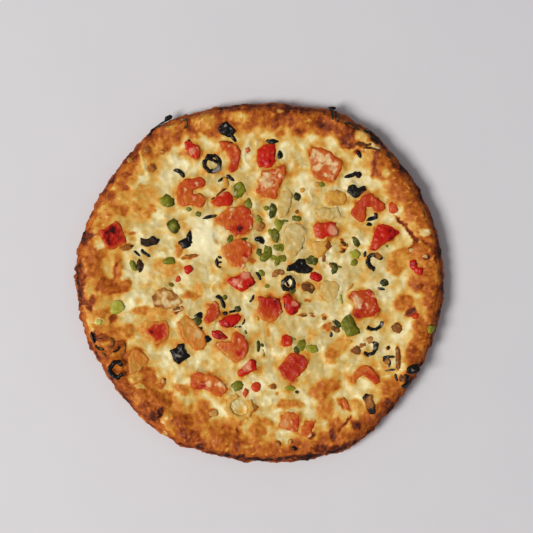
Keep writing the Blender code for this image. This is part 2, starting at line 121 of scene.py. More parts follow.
# Uneven surfaces, each as layers of noise: how much, over what length, and a seed
UNEVEN = {
    "pale cheese": ((0.2, 17, 1), (0.28, 7, 2), (0.08, 3, 3)),
    "band": ((0.3, 12, 4), (0.2, 5, 5)),
    "rim": ((0.24, 8.5, 6), (0.09, 3.4, 7)),
    "patch": ((0.24, 4, 15), (0.14, 1.9, 16)),
    "lumps": ((0.8, 8.5, 21), (0.42, 4, 22), (0.1, 2, 23)),
    "toasted": ((0.45, 2.8, 24), (0.2, 1.5, 25)),
    "grip": ((1.2, 5, 27), (0.7, 2.4, 28)),
    "stain and shade": ((1, 12, 33), (0.7, 4, 34)),
    "cheese edge": ((0.9, 4.5, 41), (0.7, 2.2, 42)),
    "crust side": ((1.1, 3, 52), (0.5, 1.5, 53)),
    "lower side": ((0.1, 9, 54), (0.07, 3, 55)),
    "piece tone": ((0.15, 5, 0), (0.08, 2, 1)),
    "netting": ((1.1, 4.4, 2), (0.6, 2, 3)),
    "swell": ((0.4, 6, 4), (0.4, 2.8, 5), (0.14, 1.4, 6)),
}

# How baked the cheese is at its palest, how much more beside a red piece, and the browning and
# painted shade added in a thin band beside any piece
PALE_BAKING = 0.15
RED_HALO = 0.26
RED_HALO_WIDTH = 3
PIECE_BROWNING_AND_SHADE = 0.12
PIECE_BROWNING_AND_SHADE_WIDTH = 1.4

# How baked the rim's browned band is, from the crust's edge at 0 to the band's end at 1
BAND_BAKING = ((0, 0.7), (0.12, 0.59), (0.6, 0.54), (0.82, 0.45), (1.0, 0.32))

# The browned places: how much more baked they are than their rows say, how fully they show, the
# length, amount and seed of their ragged outlines, and which of them rise as blisters
PATCH_EXTRA = 0.03
PATCH_STRENGTH = 0.92
PATCH_WARP = (7, 1.8, 11)
PATCH_FRINGE = (2.4, 0.9, 13)
BLISTER_BAKING = (0.4, 0.78)
BLISTER_LEAST = 2
BLISTER_RISE = 0.7

# How baked a dark crease and a pale strand are, and how fully they show
DARK_CREASE = (0.84, 0.8)
PALE_STRAND = (0.1, 0.6)

# The camera, in metres but for its place and the width it takes in
CAMERA_HEIGHT = 1.2
CAMERA_PLACE = (6.6, 11.4)
FRAME_WIDTH = 391.7
FOCUS_HEIGHT = 15
SENSOR_WIDTH = 36

# The floor and the light, in metres
FLOOR_HALF = 3.0
FLOOR_TONES = ((210, 208, 212), (214, 212, 215))
LAMP_SIZE = 1.6
LAMP_POWER = 156
LAMP_COLOUR = (1.0, 0.985, 0.96)
LAMP_PLACE = (-2.4, -0.9, 3.2)
SURROUNDING_LIGHT = 0.27

# The Mix node's sockets for the share and the two colours
MIX_SOCKETS = (0, 6, 7)

# The kind of piece whose material each kind of small bit takes
BIT_SLOTS = {
    "green": "green_pepper", "olive": "olive", "red": "red_pepper", "brown": "mushroom",
    "gold": "onion",
}

# The width of the browned band inside the rim, by direction
BROWN_BAND = (
    (0, 22), (20, 19), (45, 23), (70, 25), (90, 26), (108, 24), (122, 21), (140, 25), (165, 27),
    (180, 30), (200, 30), (220, 31), (240, 33), (262, 27), (280, 22), (300, 21), (320, 16),
    (340, 15),
)

# How much more baked the browned band is, by direction
RIM_BAKED = (
    (0, 0.03), (30, 0.16), (60, 0.21), (90, 0.16), (120, 0.07), (150, -0.04), (180, -0.19),
    (210, 0.04), (240, 0.02), (270, 0.04), (300, 0.07), (330, 0.07),
)

# How charred the outer edge is, by direction
CHAR = (
    (0, 0.35), (30, 0.35), (70, 0.2), (110, 0.15), (150, 0.4), (172, 0.6), (190, 0.65), (205, 0.45),
    (235, 0.3), (252, 0.6), (262, 0.7), (275, 0.5), (290, 0.75), (305, 0.7), (320, 0.45),
    (345, 0.4),
)

# How ragged the outer side is, by direction
RAGGED = (
    (0, 0.8), (60, 0.8), (95, 0.5), (130, 0.6), (155, 0.9), (170, 1.4), (200, 1.3), (222, 0.6),
    (245, 0.8), (270, 0.9), (305, 0.8), (330, 0.8),
)

# Browned, golden and pale places in the cheese: x, y, half length, half width, turn and how baked,
# from 0 for pale cheese to 1 for char
BAKED = (
    (-76, -36, 12, 11, 0, 0.42), (-106, -3, 10, 6, 0, 0.6), (-72, -18, 4.5, 4, 0, 0.55),
    (-22.4, 70, 4, 4, 0, 0.36), (-52.6, 118.3, 3.5, 3.5, 0, 0.62), (-95.5, -37, 5.5, 6, 0, 0.47),
    (-64, 10, 9, 7, 20, 0.42), (60, -112, 6, 4, 0, 0.55), (-79, 82, 11, 9.5, 0, 0.34),
    (-86, 64, 13, 10.5, 0, 0.36), (-86, 49, 9, 7.5, 0, 0.36), (-78, 54, 3.5, 3.5, 0, 0.5),
    (-81, 49, 3, 3, 0, 0.5), (-89, 54, 3, 3, 0, 0.5), (-94, 90, 3.5, 3, 0, 0.68),
    (-81, 97, 3.5, 3.5, 0, 0.66), (-78, 84, 3.5, 3.5, 0, 0.62), (-69, 96, 2, 1.5, 0, 0.8),
    (-95, 79, 3, 2, 0, 0.7), (-108, 64, 4.5, 3.5, 0, 0.7), (-97, 68, 2, 2, 0, 0.7),
    (-107, 75, 3.5, 2, 30, 0.85), (-55, 118, 5, 5, 0, 0.6), (-84, 75, 4.5, 3.5, 0, 0.1),
    (-74, 115, 6.5, 1.5, 35, 0.85), (-64, 121, 3, 2, 0, 0.92), (61, 119, 11, 7.5, 0, 0.58),
    (31, 119, 9, 6.5, 0, 0.56), (2, 121, 14.5, 7.5, 0, 0.6), (-39, 118, 9, 7.5, 0, 0.42),
    (-13, 121, 7.5, 5, 0, 0.36), (13, 118, 3, 6, 0, 0.72), (25, 119, 1.5, 4.5, 0, 0.72),
    (31, 129, 2, 3, 0, 0.75), (16, 126, 2, 2, 0, 0.2), (28, 84, 3, 6, 0, 0.34),
    (58, 120, 3.5, 3, 0, 0.72), (69, 115, 6, 3, 20, 0.7), (82, 92, 4, 5, 0, 0.34),
    (77, 107, 6, 5, 0, 0.25), (86, 100, 6, 3, -30, 0.24), (64, 100, 2, 2, 0, 0.6),
    (-26, 67, 3.5, 1, 50, 0.62), (-23, 76, 4.5, 3.5, 0, 0.3), (94, 87, 9, 12, -35, 0.56),
    (107, 68, 10.5, 13, -40, 0.58), (119, 49, 9, 12, -55, 0.56), (94, 79, 3, 3, 0, 0.25),
    (86, 86, 1.5, 10.5, -10, 0.72), (102, 83, 1.5, 9, 35, 0.74), (123, 37, 4.5, 3.5, 0, 0.22),
    (114, 41, 5, 3.5, -40, 0.33), (105, 44, 6, 1, -48, 0.8), (113, 35, 6, 1.5, -48, 0.82),
    (116, 29, 2, 4.5, -15, 0.84), (113, 24, 2, 1.5, 0, 0.92), (125, 29, 6.5, 1, -38, 0.72),
    (105, 21, 9.5, 3.5, 15, 0.46), (101, 11, 7.5, 6.5, 0, 0.53), (108, 14, 5, 6.5, 0, 0.38),
    (119, 23, 9, 6.5, 0, 0.56), (124, 19, 2.5, 2, 0, 0.88), (119, -1, 9, 6.5, 0, 0.6),
    (119, -4, 3.5, 3, 0, 0.72), (127, -13, 5, 12, 0, 0.64), (108, -15, 9.5, 6, 25, 0.58),
    (113, -22, 4.5, 3, 35, 0.85), (116, -24, 3, 2, 0, 0.72), (103, -33, 3.5, 3.5, 0, 0.68),
    (119, -35, 5, 13, 5, 0.58), (114, -51, 4.5, 6.5, 0, 0.66), (103, -55, 2, 9.5, 0, 0.66),
    (96, -48, 1.5, 1.5, 0, 0.93), (97, -76, 6, 6, 30, 0.55), (94, -90, 5, 4.5, 30, 0.76),
    (87, -101, 9, 4.5, 45, 0.62), (78, -116, 9, 5, 30, 0.62), (60, -47, 12, 6, 35, 0.4),
    (54, -53, 5, 5, 0, 0.5), (54, -57, 3.5, 3, 0, 0.46), (72, -51, 3, 2.5, 0, 0.84),
    (53, -76, 9.5, 6.5, 0, 0.52), (46, -81, 9, 6.5, 0, 0.54), (50, -93, 7.5, 9, 0, 0.5),
    (61, -89, 2.5, 5, 25, 0.64), (65, -90, 2, 6, 30, 0.72), (73, -90, 6, 4.5, 0, 0.42),
    (64, -104, 1, 7.5, -40, 0.9), (57, -105, 6.5, 5, 0, 0.58), (73, -105, 4.5, 3.5, 0, 0.86),
    (55, -112, 3, 4.5, 0, 0.84), (64, -116, 7.5, 4.5, 20, 0.6), (50, -26, 2.5, 2, 0, 0.55),
    (56, -7, 1.5, 1.5, 0, 0.76), (54, -11, 1, 1.5, 0, 0.6), (37, -13, 3, 1.5, 0, 0.6),
    (33, -24, 3, 1, 0, 0.66), (41, -25, 2, 1, 0, 0.8), (51, -33, 3.5, 3.5, 0, 0.6),
    (22, -90, 10.5, 3.5, 12, 0.52), (31, -90, 4.5, 3, 0, 0.44), (8, -103, 5, 3, -25, 0.47),
    (0, -110, 6, 12, 0, 0.53), (-15, -116, 2, 9, 0, 0.84), (-33, -96, 4.5, 3.5, 15, 0.78),
    (-33, -104, 3.5, 2, 0, 0.47), (-40, -96, 6.5, 10.5, 0, 0.55), (-3, -92, 3.5, 3.5, 0, 0.7),
    (-24, -116, 12, 6.5, 0, 0.6), (-42, -121, 4.5, 3, 0, 0.84), (15, -118, 2, 2.5, 0, 0.62),
    (24, -118, 1.5, 2, 0, 0.84), (27, -122, 2, 1.5, -20, 0.93), (19, -112, 6, 4.5, 0, 0.12),
    (-13, -129, 3.5, 2, 20, 1), (11, -77, 2, 2, 0, 0.6), (14, -82, 1.5, 1.5, 0, 0.45),
    (-39, -60, 3.5, 3, 0, 0.3), (-23, -60, 4.5, 3, 0, 0.3), (40, -113, 3, 3, 0, 0.84),
    (46, -122, 6, 3, 0, 0.86), (59, -122, 8, 2.5, 15, 0.85), (31, -128, 16, 1.3, 4, 0.86),
    (0, -131, 16, 1.3, 0, 0.84), (-89, -54, 6.5, 6.5, 0, 0.64), (-78, -69, 5, 6, 0, 0.62),
    (-69, -73, 2, 2, 0, 0.84), (-71, -76, 4.5, 3, 0, 0.6), (-55, -79, 6.5, 4.5, -20, 0.53),
    (-79, -83, 13, 6, -25, 0.58), (-83, -90, 3.5, 3, 0, 0.72), (-75, -98, 5, 4.5, 0, 0.86),
    (-71, -96, 1.5, 4.5, 0, 0.92), (-66, -88, 4.5, 3.5, 0, 0.62), (-68, -101, 3.5, 3.5, 0, 0.36),
    (-61, -106, 2, 4.5, 20, 0.38), (-55, -102, 8, 6.5, 0, 0.67), (-50, -112, 10.5, 3.5, -20, 0.7),
    (-95, -75, 2, 2, 0, 0.82), (-98, -82, 3.5, 3, 0, 0.76), (-97, -78, 6, 10.5, 35, 0.66),
    (-86, -77, 3.5, 2, 0, 0.24), (-90, -71, 4.5, 3, 0, 0.3), (-86, -21, 9, 3, 8, 0.52),
    (-107, -26, 3, 3.5, 0, 0.74), (-96, -36, 6.5, 6.5, 0, 0.46), (-116, -29, 3, 3, 0, 0.12),
    (-103, -46, 7.5, 3, 20, 0.7), (-116, -41, 6.5, 3, 0, 0.72), (-108, -49, 5, 3.5, 0, 0.62),
    (-120, -41, 2, 5, 0, 0.96), (-114, -52, 3, 3, 0, 0.6), (-90, -34, 5, 2, 0, 0.4),
    (-74, -22, 9, 3.5, 0, 0.42), (-126, 32, 5, 6, 0, 0.82), (-121, 35, 3.5, 1.5, 15, 0.8),
    (-119, 15, 9, 14.5, 0, 0.6), (-103, 10, 4.5, 12.5, 0, 0.52), (-107, -5, 12.5, 4.5, 0, 0.62),
    (-115, -1, 2, 6, -30, 0.7), (-96, -2, 3.5, 4.5, 0, 0.6), (-110, 12, 4.5, 7.5, 0, 0.3),
    (-116, 27, 3.5, 4.5, 0, 0.16), (-119, 38, 3, 3, 0, 0.34), (-92, 36, 2, 1.5, 0, 0.62),
    (-96, 26, 4.5, 2, 15, 0.66), (-68, 12, 11, 6.5, -15, 0.38), (-58, 24, 3, 6, 0, 0.52),
    (-47, 19, 5, 1.5, 8, 0.68), (-53, 18, 3, 1, 0, 0.62), (-64, -2, 2, 2, 0, 0.55),
    (-69, -6, 2, 1, 20, 0.74), (-66, -8, 2, 1, -35, 0.74), (-125, -15, 6.5, 2, 10, 0.78),
    (-123, -19, 2, 2, 0, 0.84), (-121, -13, 2, 4.5, 0, 0.74), (-130, 1, 3.5, 16, 0, 0.8),
    (-58, -20, 4.5, 2, 15, 0.84), (-49, -10, 6.5, 3.5, 10, 0.53), (-42, -4, 6, 4.5, 0, 0.4),
    (-17, 15, 6, 4.5, 0, 0.42), (-4, 15, 2.5, 2, 0, 0.6), (1, -24, 4.5, 4.5, 0, 0.45),
    (5, -39, 3, 9, 0, 0.32), (8, -35, 1.5, 6.5, 0, 0.45), (40, -2, 6, 3.5, 0, 0.4),
    (63, 26, 3.5, 4.5, 0, 0.35), (66, 27, 1, 3, 0, 0.8), (64, 23, 2, 1, 0, 0.72),
    (62, 31, 2, 1, 0, 0.72), (77, 44, 4.5, 3, 0, 0.32), (82, -3, 4.5, 3.5, 0, 0.14),
    (9, -43, 6, 3.5, 0, 0.2), (68, 47, 6.5, 3.5, 0, 0.18), (3, 40, 4.5, 6, 0, 0.34),
    (53, 33, 2, 4.5, -30, 0.6),
)

# Dark creases in the cheese and raised pale strands: x, y, x, y, half width, rise
CREASES = (
    (103, 47, 109, 41, 0.9, -0.9), (109, 41, 114, 35, 1, -1), (114, 35, 117, 31, 1, -0.9),
    (117, 31, 113, 25, 0.9, -0.8), (121, 31, 128, 26, 0.8, -0.7), (85, 95, 88, 79, 0.8, -0.6),
    (98, 90, 106, 76, 0.8, -0.6), (61, -108, 69, -99, 0.7, -0.6), (-103, 14, -107, -2, 0.9, -0.4),
    (-86, 96, -83, 83, 1.3, 0.7), (-83, 83, -79, 76, 1.2, 0.6), (57, 97, 88, 98, 0.8, 0.6),
    (4, -34, 6, -52, 1, 0.4), (10, -38, 12, -50, 0.8, 0.35),
)

# Small bits by kind: x, y, half length, half width, turn and tone
BITS = {
    "green": (
        (-15, -76.5, 4.6, 3.6, 10, 0.42), (-7, 57.5, 3, 3.6, 0, 0.45),
        (40, 16, 4.4, 3.6, -20, 0.28), (71.5, 20.5, 3.6, 3.4, 10, 0.72),
        (72.5, 29.5, 2.2, 4, 30, 0.25), (71, 14, 2.6, 2.2, 0, 0.5), (40, -49, 4.4, 3, -15, 0.66),
        (32, -46.5, 3, 4.4, -20, 0.48), (29, -50, 2.2, 3, 0, 0.25), (24, -78, 3.6, 2, 5, 0.62),
        (-65, 15.5, 4.8, 2.6, 0, 0.45), (-103.5, -19, 5.2, 4.8, 30, 0.78),
        (-44.5, -28.5, 3.6, 3.6, -20, 0.25), (16.5, 43.5, 3, 2.4, 0, 0.45),
        (1, 45, 2.6, 2, 20, 0.6), (10, 36, 2.2, 3, 0, 0.5), (-20, 31, 2.6, 3.9, 0, 0.4),
        (18.5, 17.5, 2.4, 2.6, 0, 0.5), (12, 18, 2.6, 2, 30, 0.6), (1, 22, 2, 2.8, 0, 0.3),
        (20, 28, 1.6, 2.2, 0, 0.7), (27, 47, 1.8, 2.2, 0, 0.3), (127.5, -34.5, 3, 3, 0, 0.55),
        (47.5, 72, 2.2, 2, 0, 0.45), (-50.5, 54.5, 2.2, 2.4, 0, 0.4), (-43.5, 50, 2, 2, 0, 0.4),
        (7, -3, 1.8, 1.2, 0, 0.55), (-9, 31, 3.4, 1.8, 0, 0.18), (25.5, -6, 2.2, 3, 0, 0.35),
        (60, -31, 1.4, 4, 40, 0.15), (-63.5, -2, 1.8, 1.4, 0, 0.35),
        (-116, -29.5, 2.4, 2.2, 0, 0.8), (95, 26.5, 1.2, 1, 0, 0.4), (93, -0.5, 3, 2.6, 20, 0.08),
    ),
    "olive": (
        (-53, 28.6, 5.4, 3.6, 6, 0), (-50.3, 33, 2, 4.2, -5, 0), (-35, 48, 5.2, 1.4, 10, 0.1),
        (10.5, 103.5, 4.4, 1.8, 0, 0.1), (16.5, 93.5, 2, 3, 0, 0.05),
        (74.5, 78.5, 2.2, 2.2, 0, 0.1), (-30, 14.5, 1.2, 3, 10, 0.15), (-27.5, 18, 2, 1, -25, 0.15),
        (-27.5, 14.5, 1.4, 0.8, 0, 0.15), (-28.5, 11, 1.8, 0.8, 0, 0.15),
        (-37, -42, 2.8, 2.6, 30, 0), (84, 46.5, 4.2, 1.6, 15, 0.05), (82, 42.5, 2.2, 1.4, 0, 0.1),
        (87, 49, 1.4, 2.2, 0, 0.1), (55, 128, 3, 1.2, 0, 0.15), (55, 123, 1.2, 4.2, 0, 0.15),
        (79, 20.5, 1.2, 2.2, 0, 0.05), (96, -48, 1.2, 1.2, 0, 0.1), (29, -81, 1.4, 1.2, 0, 0.3),
        (27, -122, 2.2, 1.2, -20, 0.1), (96.5, 94, 1.6, 1.4, 0, 0.15),
        (-43.5, -25, 3.4, 2.4, 20, 0.02), (-42.5, -34.5, 2.2, 2.2, 0, 0.1),
        (91, -5, 2.4, 1, -10, 0.12), (-14.5, -26.5, 1.2, 1.4, 0, 0.1),
    ),
    "red": (
        (-51, 9, 3.2, 3.6, -15, 0.8), (-58.5, 2, 1.8, 2.4, -20, 0.5),
        (99.5, 54.5, 3.6, 4.4, 10, 0.5), (43, 3.5, 4.8, 3.2, -38, 0.84),
        (-28.5, -39, 5.6, 3, -18, 0.86), (-1, -77, 3.4, 3.6, 0, 0.6),
        (64.5, -89.5, 2.2, 4.6, 28, 0.34), (-7.5, 97, 1.8, 2.2, 0, 0.4),
        (116, -25, 2.6, 2, 20, 0.7), (-9, -81.5, 1.8, 3.2, -10, 0.55),
    ),
    "gold": (
        (33, 67.5, 1.8, 1.8, 0, 0.3), (63.5, -34.5, 1.6, 1.4, 0, 0.3),
    ),
    "brown": (
        (82.7, -42.6, 2.8, 2.6, 0, 0.72), (72.8, -50.2, 3, 3, 0, 0.5),
        (77, -46.5, 2.6, 1.8, 20, 0.62), (95.2, -58.2, 2.4, 2.4, 0, 0.62),
        (105.5, -70.5, 1.8, 2.6, 0, 0.4), (1.8, 40.4, 3.6, 3.4, 0, 0.7),
        (29, 51.5, 1.4, 1.8, 0, 0.48), (57, -7.5, 1.3, 1.3, 0, 0.5), (49, -27, 1.4, 1.2, 0, 0.5),
        (102.5, -33.5, 3.6, 3.6, 0, 0.5), (-96.5, 25.5, 4.2, 2.2, 15, 0.6),
        (-68, -111.5, 2.2, 2.2, 0, 0.8), (-58.5, -20, 4.2, 1.6, 15, 0.85),
        (-68.5, -6, 2.2, 0.8, 20, 0.75), (-65, -8, 2.2, 0.8, -40, 0.75),
        (39.5, -23.5, 1.8, 1, 0, 0.75), (33.5, -23.5, 2.4, 0.8, 0, 0.7), (11.5, -77, 2, 2, 0, 0.6),
        (-2.5, -92, 3, 2.6, 0, 0.65), (123, 19, 2, 1.6, 0, 0.85), (113, 23.5, 1.8, 1.4, 0, 0.95),
        (-32.5, -96.5, 3.6, 2.4, 15, 0.78), (24, -117, 1.2, 1.8, 0, 0.85),
        (15, -118.5, 1.6, 2, 0, 0.6), (-69.5, -73, 1.4, 2, 0, 0.8), (-88, -52, 2.2, 2.2, 0, 0.75),
        (-81, 97, 2.4, 2.4, 0, 0.62), (-77.5, 84, 2.6, 2.4, 0, 0.6), (-69.5, 95.5, 1.4, 1, 0, 0.8),
        (-93.5, 89.5, 2.6, 2, 0, 0.65),
    ),
}

# Thin curved strips and long chunks by kind: half width, tone and the places they run through
STRIPS = {
    "olive": (
        (0.7, 0.1, (-79, 111), (-74.6, 114.3), (-69.5, 118), (-64.3, 120.5)),
        (1.7, 0.05, (-68, 119.8), (-65.8, 121.1), (-63.4, 122.2)),
        (0.9, 0.1, (78.3, 111.4), (81.2, 111.9), (83.4, 111), (84.9, 109.1)),
        (1, 0.15, (83.4, 106.6), (86.4, 104.4), (88.9, 101.8)),
        (1.4, 0.03, (73.1, 96.3), (74.6, 94.1), (75.7, 91.5)),
        (0.8, 0.3, (95.2, 94.4), (97, 93.3), (98.1, 91.1)),
        (1.5, 0.03, (64.3, 77.2), (67.3, 77.9), (70.2, 78.6), (73.1, 80.5)),
        (1, 0.1, (92.2, -55.5), (95.9, -54.8), (100.3, -55.1)),
        (1.1, 0.1, (92.6, -56.6), (93.7, -58.4)),
        (1, 0.08, (96.7, -57.3), (97.4, -61), (95.9, -62.5)),
        (0.7, 0.2, (93.7, -65.3), (97.4, -64.5), (101.1, -64.3)),
        (1.4, 0.05, (106.9, -65.4), (108.4, -68.4), (110.6, -71.3), (111, -74.2), (108.8, -77.2),
         (105.8, -76.1)),
        (1, 0.1, (101.1, -67.6), (101.8, -70.6), (102.5, -72.4)),
        (1.1, 0.1, (-122, -36.8), (-121.3, -40.4), (-119.8, -44.5)),
        (0.8, 0.25, (-106.9, -51.4), (-104, -51.1), (-101.8, -49.2), (-101.8, -47)),
        (0.7, 0.2, (-103.3, -59.9), (-100.7, -61), (-98.5, -62)),
        (1, 0.02, (-106.2, -60.3), (-106.6, -63.9), (-104.4, -67.3), (-101.4, -68.4)),
        (1, 0.02, (-90.8, 22.8), (-88.6, 21.3), (-86.4, 19.1)),
        (1.2, 0.1, (-84.9, 24.3), (-84.9, 22.1), (-82, 20.9), (-79.4, 18.7)),
        (1.3, 0.05, (-22.4, 78.6), (-19.5, 76.1), (-17.6, 74.6)),
        (1, 0.05, (-29, 73.9), (-26.8, 75.3), (-25.4, 76.8)),
        (0.7, 0.25, (-34.2, 60.3), (-30.5, 63.2), (-26.8, 66.2), (-22.4, 69.1)),
        (1.2, 0.15, (-50.7, 104.4), (-49.2, 102.5), (-48.5, 100.7)),
        (1.4, 0.02, (-19.5, 109.5), (-18, 105.8), (-15.8, 103.3)),
        (1, 0.05, (-22.4, 102.5), (-18, 101.9)),
        (1.5, 0.08, (-61.4, 82.3), (-58.4, 82), (-55.5, 79.7), (-54, 76.8)),
        (1.1, 0.03, (-37.1, 90.8), (-32.7, 89.7), (-29, 87.5), (-26.8, 85.3)),
        (0.9, 0.05, (-36.4, 82.3), (-33.8, 80.5)),
        (1.5, 0.02, (-30.5, -11), (-28.3, -10.7), (-26.1, -13.2), (-25, -16.9), (-24.3, -19.1)),
        (1.6, 0.15, (-25.4, -22.8), (-22.4, -23.2)), (1, 0.05, (-20.9, -22.1), (-15.8, -21.2)),
        (1.1, 0.05, (-17.3, -33.1), (-14.3, -32.7), (-12.1, -33.1)),
        (0.7, 0.15, (-11.4, -31.6), (-9.9, -29.4), (-9.6, -26.8)),
        (0.9, 0.2, (-5.9, -14.7), (-3.7, -12.9), (-2.9, -9.6)),
        (2, 0.03, (-1.8, 31.2), (1.8, 32), (4, 28.7)),
        (1.3, 0.02, (20.9, 0.4), (21.7, -1.5), (22.8, -3.7)), (0.9, 0.05, (24.6, 2.6), (27.6, 2.2)),
        (1, 0.05, (26.5, -1.5), (27.6, -5.1)), (1.2, 0.15, (-1.1, 7), (1.1, 5.1), (2.2, 1.5)),
        (1, 0.3, (-95.9, 24.6), (-93.7, 25.7), (-91.5, 26.8)),
    ),
    "green": (
        (1.1, 0.15, (55.5, -28.7), (57.7, -30.9), (60.3, -34.2)),
        (1.9, 0.3, (-25.4, -11.2), (-22.4, -11.4)), (2.4, 0.2, (-15.4, -21.3), (-13.6, -18.4)),
        (1, 0.4, (-9.2, -34.9), (-8.5, -38.6)),
        (1.2, 0.22, (0.4, -43.4), (0.7, -47.8), (0.4, -51.4)),
        (1.2, 0.2, (2.6, -45.6), (4.8, -47.4)), (0.7, 0.5, (4, -49.2), (4.8, -52.2), (4.4, -55.1)),
        (1, 0.7, (60.6, -8.1), (61.4, -12.5), (62.1, -16.2)),
        (2.8, 0.66, (13.6, 45.6), (15.8, 41.2), (12.9, 36.8), (12.1, 32.3)),
        (1, 0.4, (18, 45.3), (22.4, 44.8)), (2.2, 0.4, (26.1, 45.9), (29, 47), (32, 45.9)),
        (3, 0.42, (6.2, 25.7), (8.5, 22.1), (5.5, 18.4), (2.6, 16.2)),
        (2.1, 0.45, (12.9, 27.9), (14.3, 24.3), (17.3, 26.5), (18, 22.8)),
        (1.9, 0.45, (13.6, 12.5), (15.1, 16.9), (18.7, 18.4)),
        (1.9, 0.38, (30.5, 25.7), (33.8, 25.7)), (2.6, 0.22, (10.7, 57), (12.1, 52.9), (9.9, 47.8)),
        (1.8, 0.55, (4.8, 54.8), (7.7, 53.7)), (1.1, 0.45, (0, 49.2), (1.8, 45.9)),
        (2.6, 0.12, (28.3, 65), (29.8, 60.6)), (2.1, 0.55, (1.5, 8.5), (4.8, 5.1)),
        (2.2, 0.22, (55.5, 13.6), (57.3, 10.3), (55.5, 6.6)),
        (0.7, 0.4, (58.4, 11.8), (61.7, 10.7)), (1.8, 0.5, (-93, 15.4), (-91.5, 11.8), (-90, 8.8)),
        (0.9, 0.5, (22.8, -40.1), (28.3, -42.6)),
    ),
    "brown": (
        (0.9, 0.35, (70.9, 100.7), (75.3, 102.2), (79.7, 100), (83.4, 101.4)),
        (0.8, 0.35, (76.8, 97.8), (81.2, 98.5), (85.6, 97.8), (90, 96.3)),
        (1.4, 0.3, (57.7, 123.5), (59.2, 119.8), (58.4, 116.9)),
        (0.9, 0.22, (63.6, 116.1), (67.3, 117.2), (70.2, 115.4), (72.4, 112.5), (74.6, 111.9)),
        (1.7, 0.5, (102.5, -47.8), (103.3, -52.9), (103.3, -58.8), (103.3, -63.9)),
        (0.7, 0.35, (-118, -41.5), (-114.3, -41.5), (-110.6, -40.4)),
        (1, 0.2, (-119.4, -46.3), (-117.2, -48.9), (-112.8, -49.6)),
        (1.4, 0.45, (-107.7, -41.2), (-106.2, -43.4), (-106.2, -47), (-108, -49.2)),
        (1.2, 0.42, (-113.6, -51.8), (-111.4, -55.1)),
        (0.8, 0.3, (-119.8, -51.4), (-117.2, -55.9), (-115.4, -58.8)),
        (0.9, 0.5, (-98.1, -44.1), (-97.4, -48.5), (-98.5, -52.9), (-100.7, -55.5)),
        (1.7, 0.25, (-87.1, 16.2), (-86.7, 12.5), (-88.2, 8.8)),
        (1, 0.2, (-84.9, 14), (-84.5, 10.3), (-87.1, 7.3)),
        (1, 0.62, (-53.3, 19.6), (-51.1, 18.5), (-48.1, 19.8), (-44.5, 20.2)),
        (0.6, 0.5, (-70.9, -6.6), (-69.8, -8.5), (-68, -7)),
        (0.6, 0.5, (-66.5, -8.3), (-64.3, -9.2)),
        (1, 0.5, (-72.4, -16.2), (-66.5, -14.7), (-62.1, -14), (-59.2, -12.1)),
        (1.3, 0.42, (-62.1, -20.6), (-59.2, -19.5), (-56.2, -19.5)),
        (2.2, 0.6, (11.4, 4.4), (15.1, 7.7), (19.5, 6.2)),
        (2.1, 0.6, (33.4, -1.1), (37.9, -2.2), (41.5, -4.8)),
        (1.8, 0.52, (54.4, -33.1), (57.7, -35.3), (60.6, -36)),
        (1.4, 0.25, (54, -36.8), (54, -40.4)),
        (0.8, 0.45, (31.2, -24.3), (33.4, -25.4), (36.4, -24.3)),
        (1.3, 0.5, (48.9, 20.2), (48.5, 14.7)),
        (1.1, 0.3, (61.4, 29.4), (63.6, 28.7), (64.3, 26.5)),
        (1, 0.4, (64.3, 23.5), (62.8, 22.1), (60.6, 22.1)), (1.4, 0.58, (53.3, 14), (54.8, 10.7)),
        (1, 0.5, (69.5, -10.3), (67.6, -12.1)),
        (0.8, 0.3, (-57, 118.7), (-54, 120), (-51.6, 118.3), (-51.6, 115), (-54, 112.6)),
    ),
    "gold": (
        (3.1, 0.3, (67.6, -3.3), (68.4, -4)), (1.9, 0.32, (41.9, 72), (45.2, 71.7)),
        (1.8, 0.24, (-24.6, 76.8), (-22.8, 73.5), (-23.2, 69.1)),
        (1.5, 0.36, (64.7, -43.7), (69.5, -43.4)), (1.4, 0.2, (-0.7, -25), (0.7, -27.9)),
    ),
}
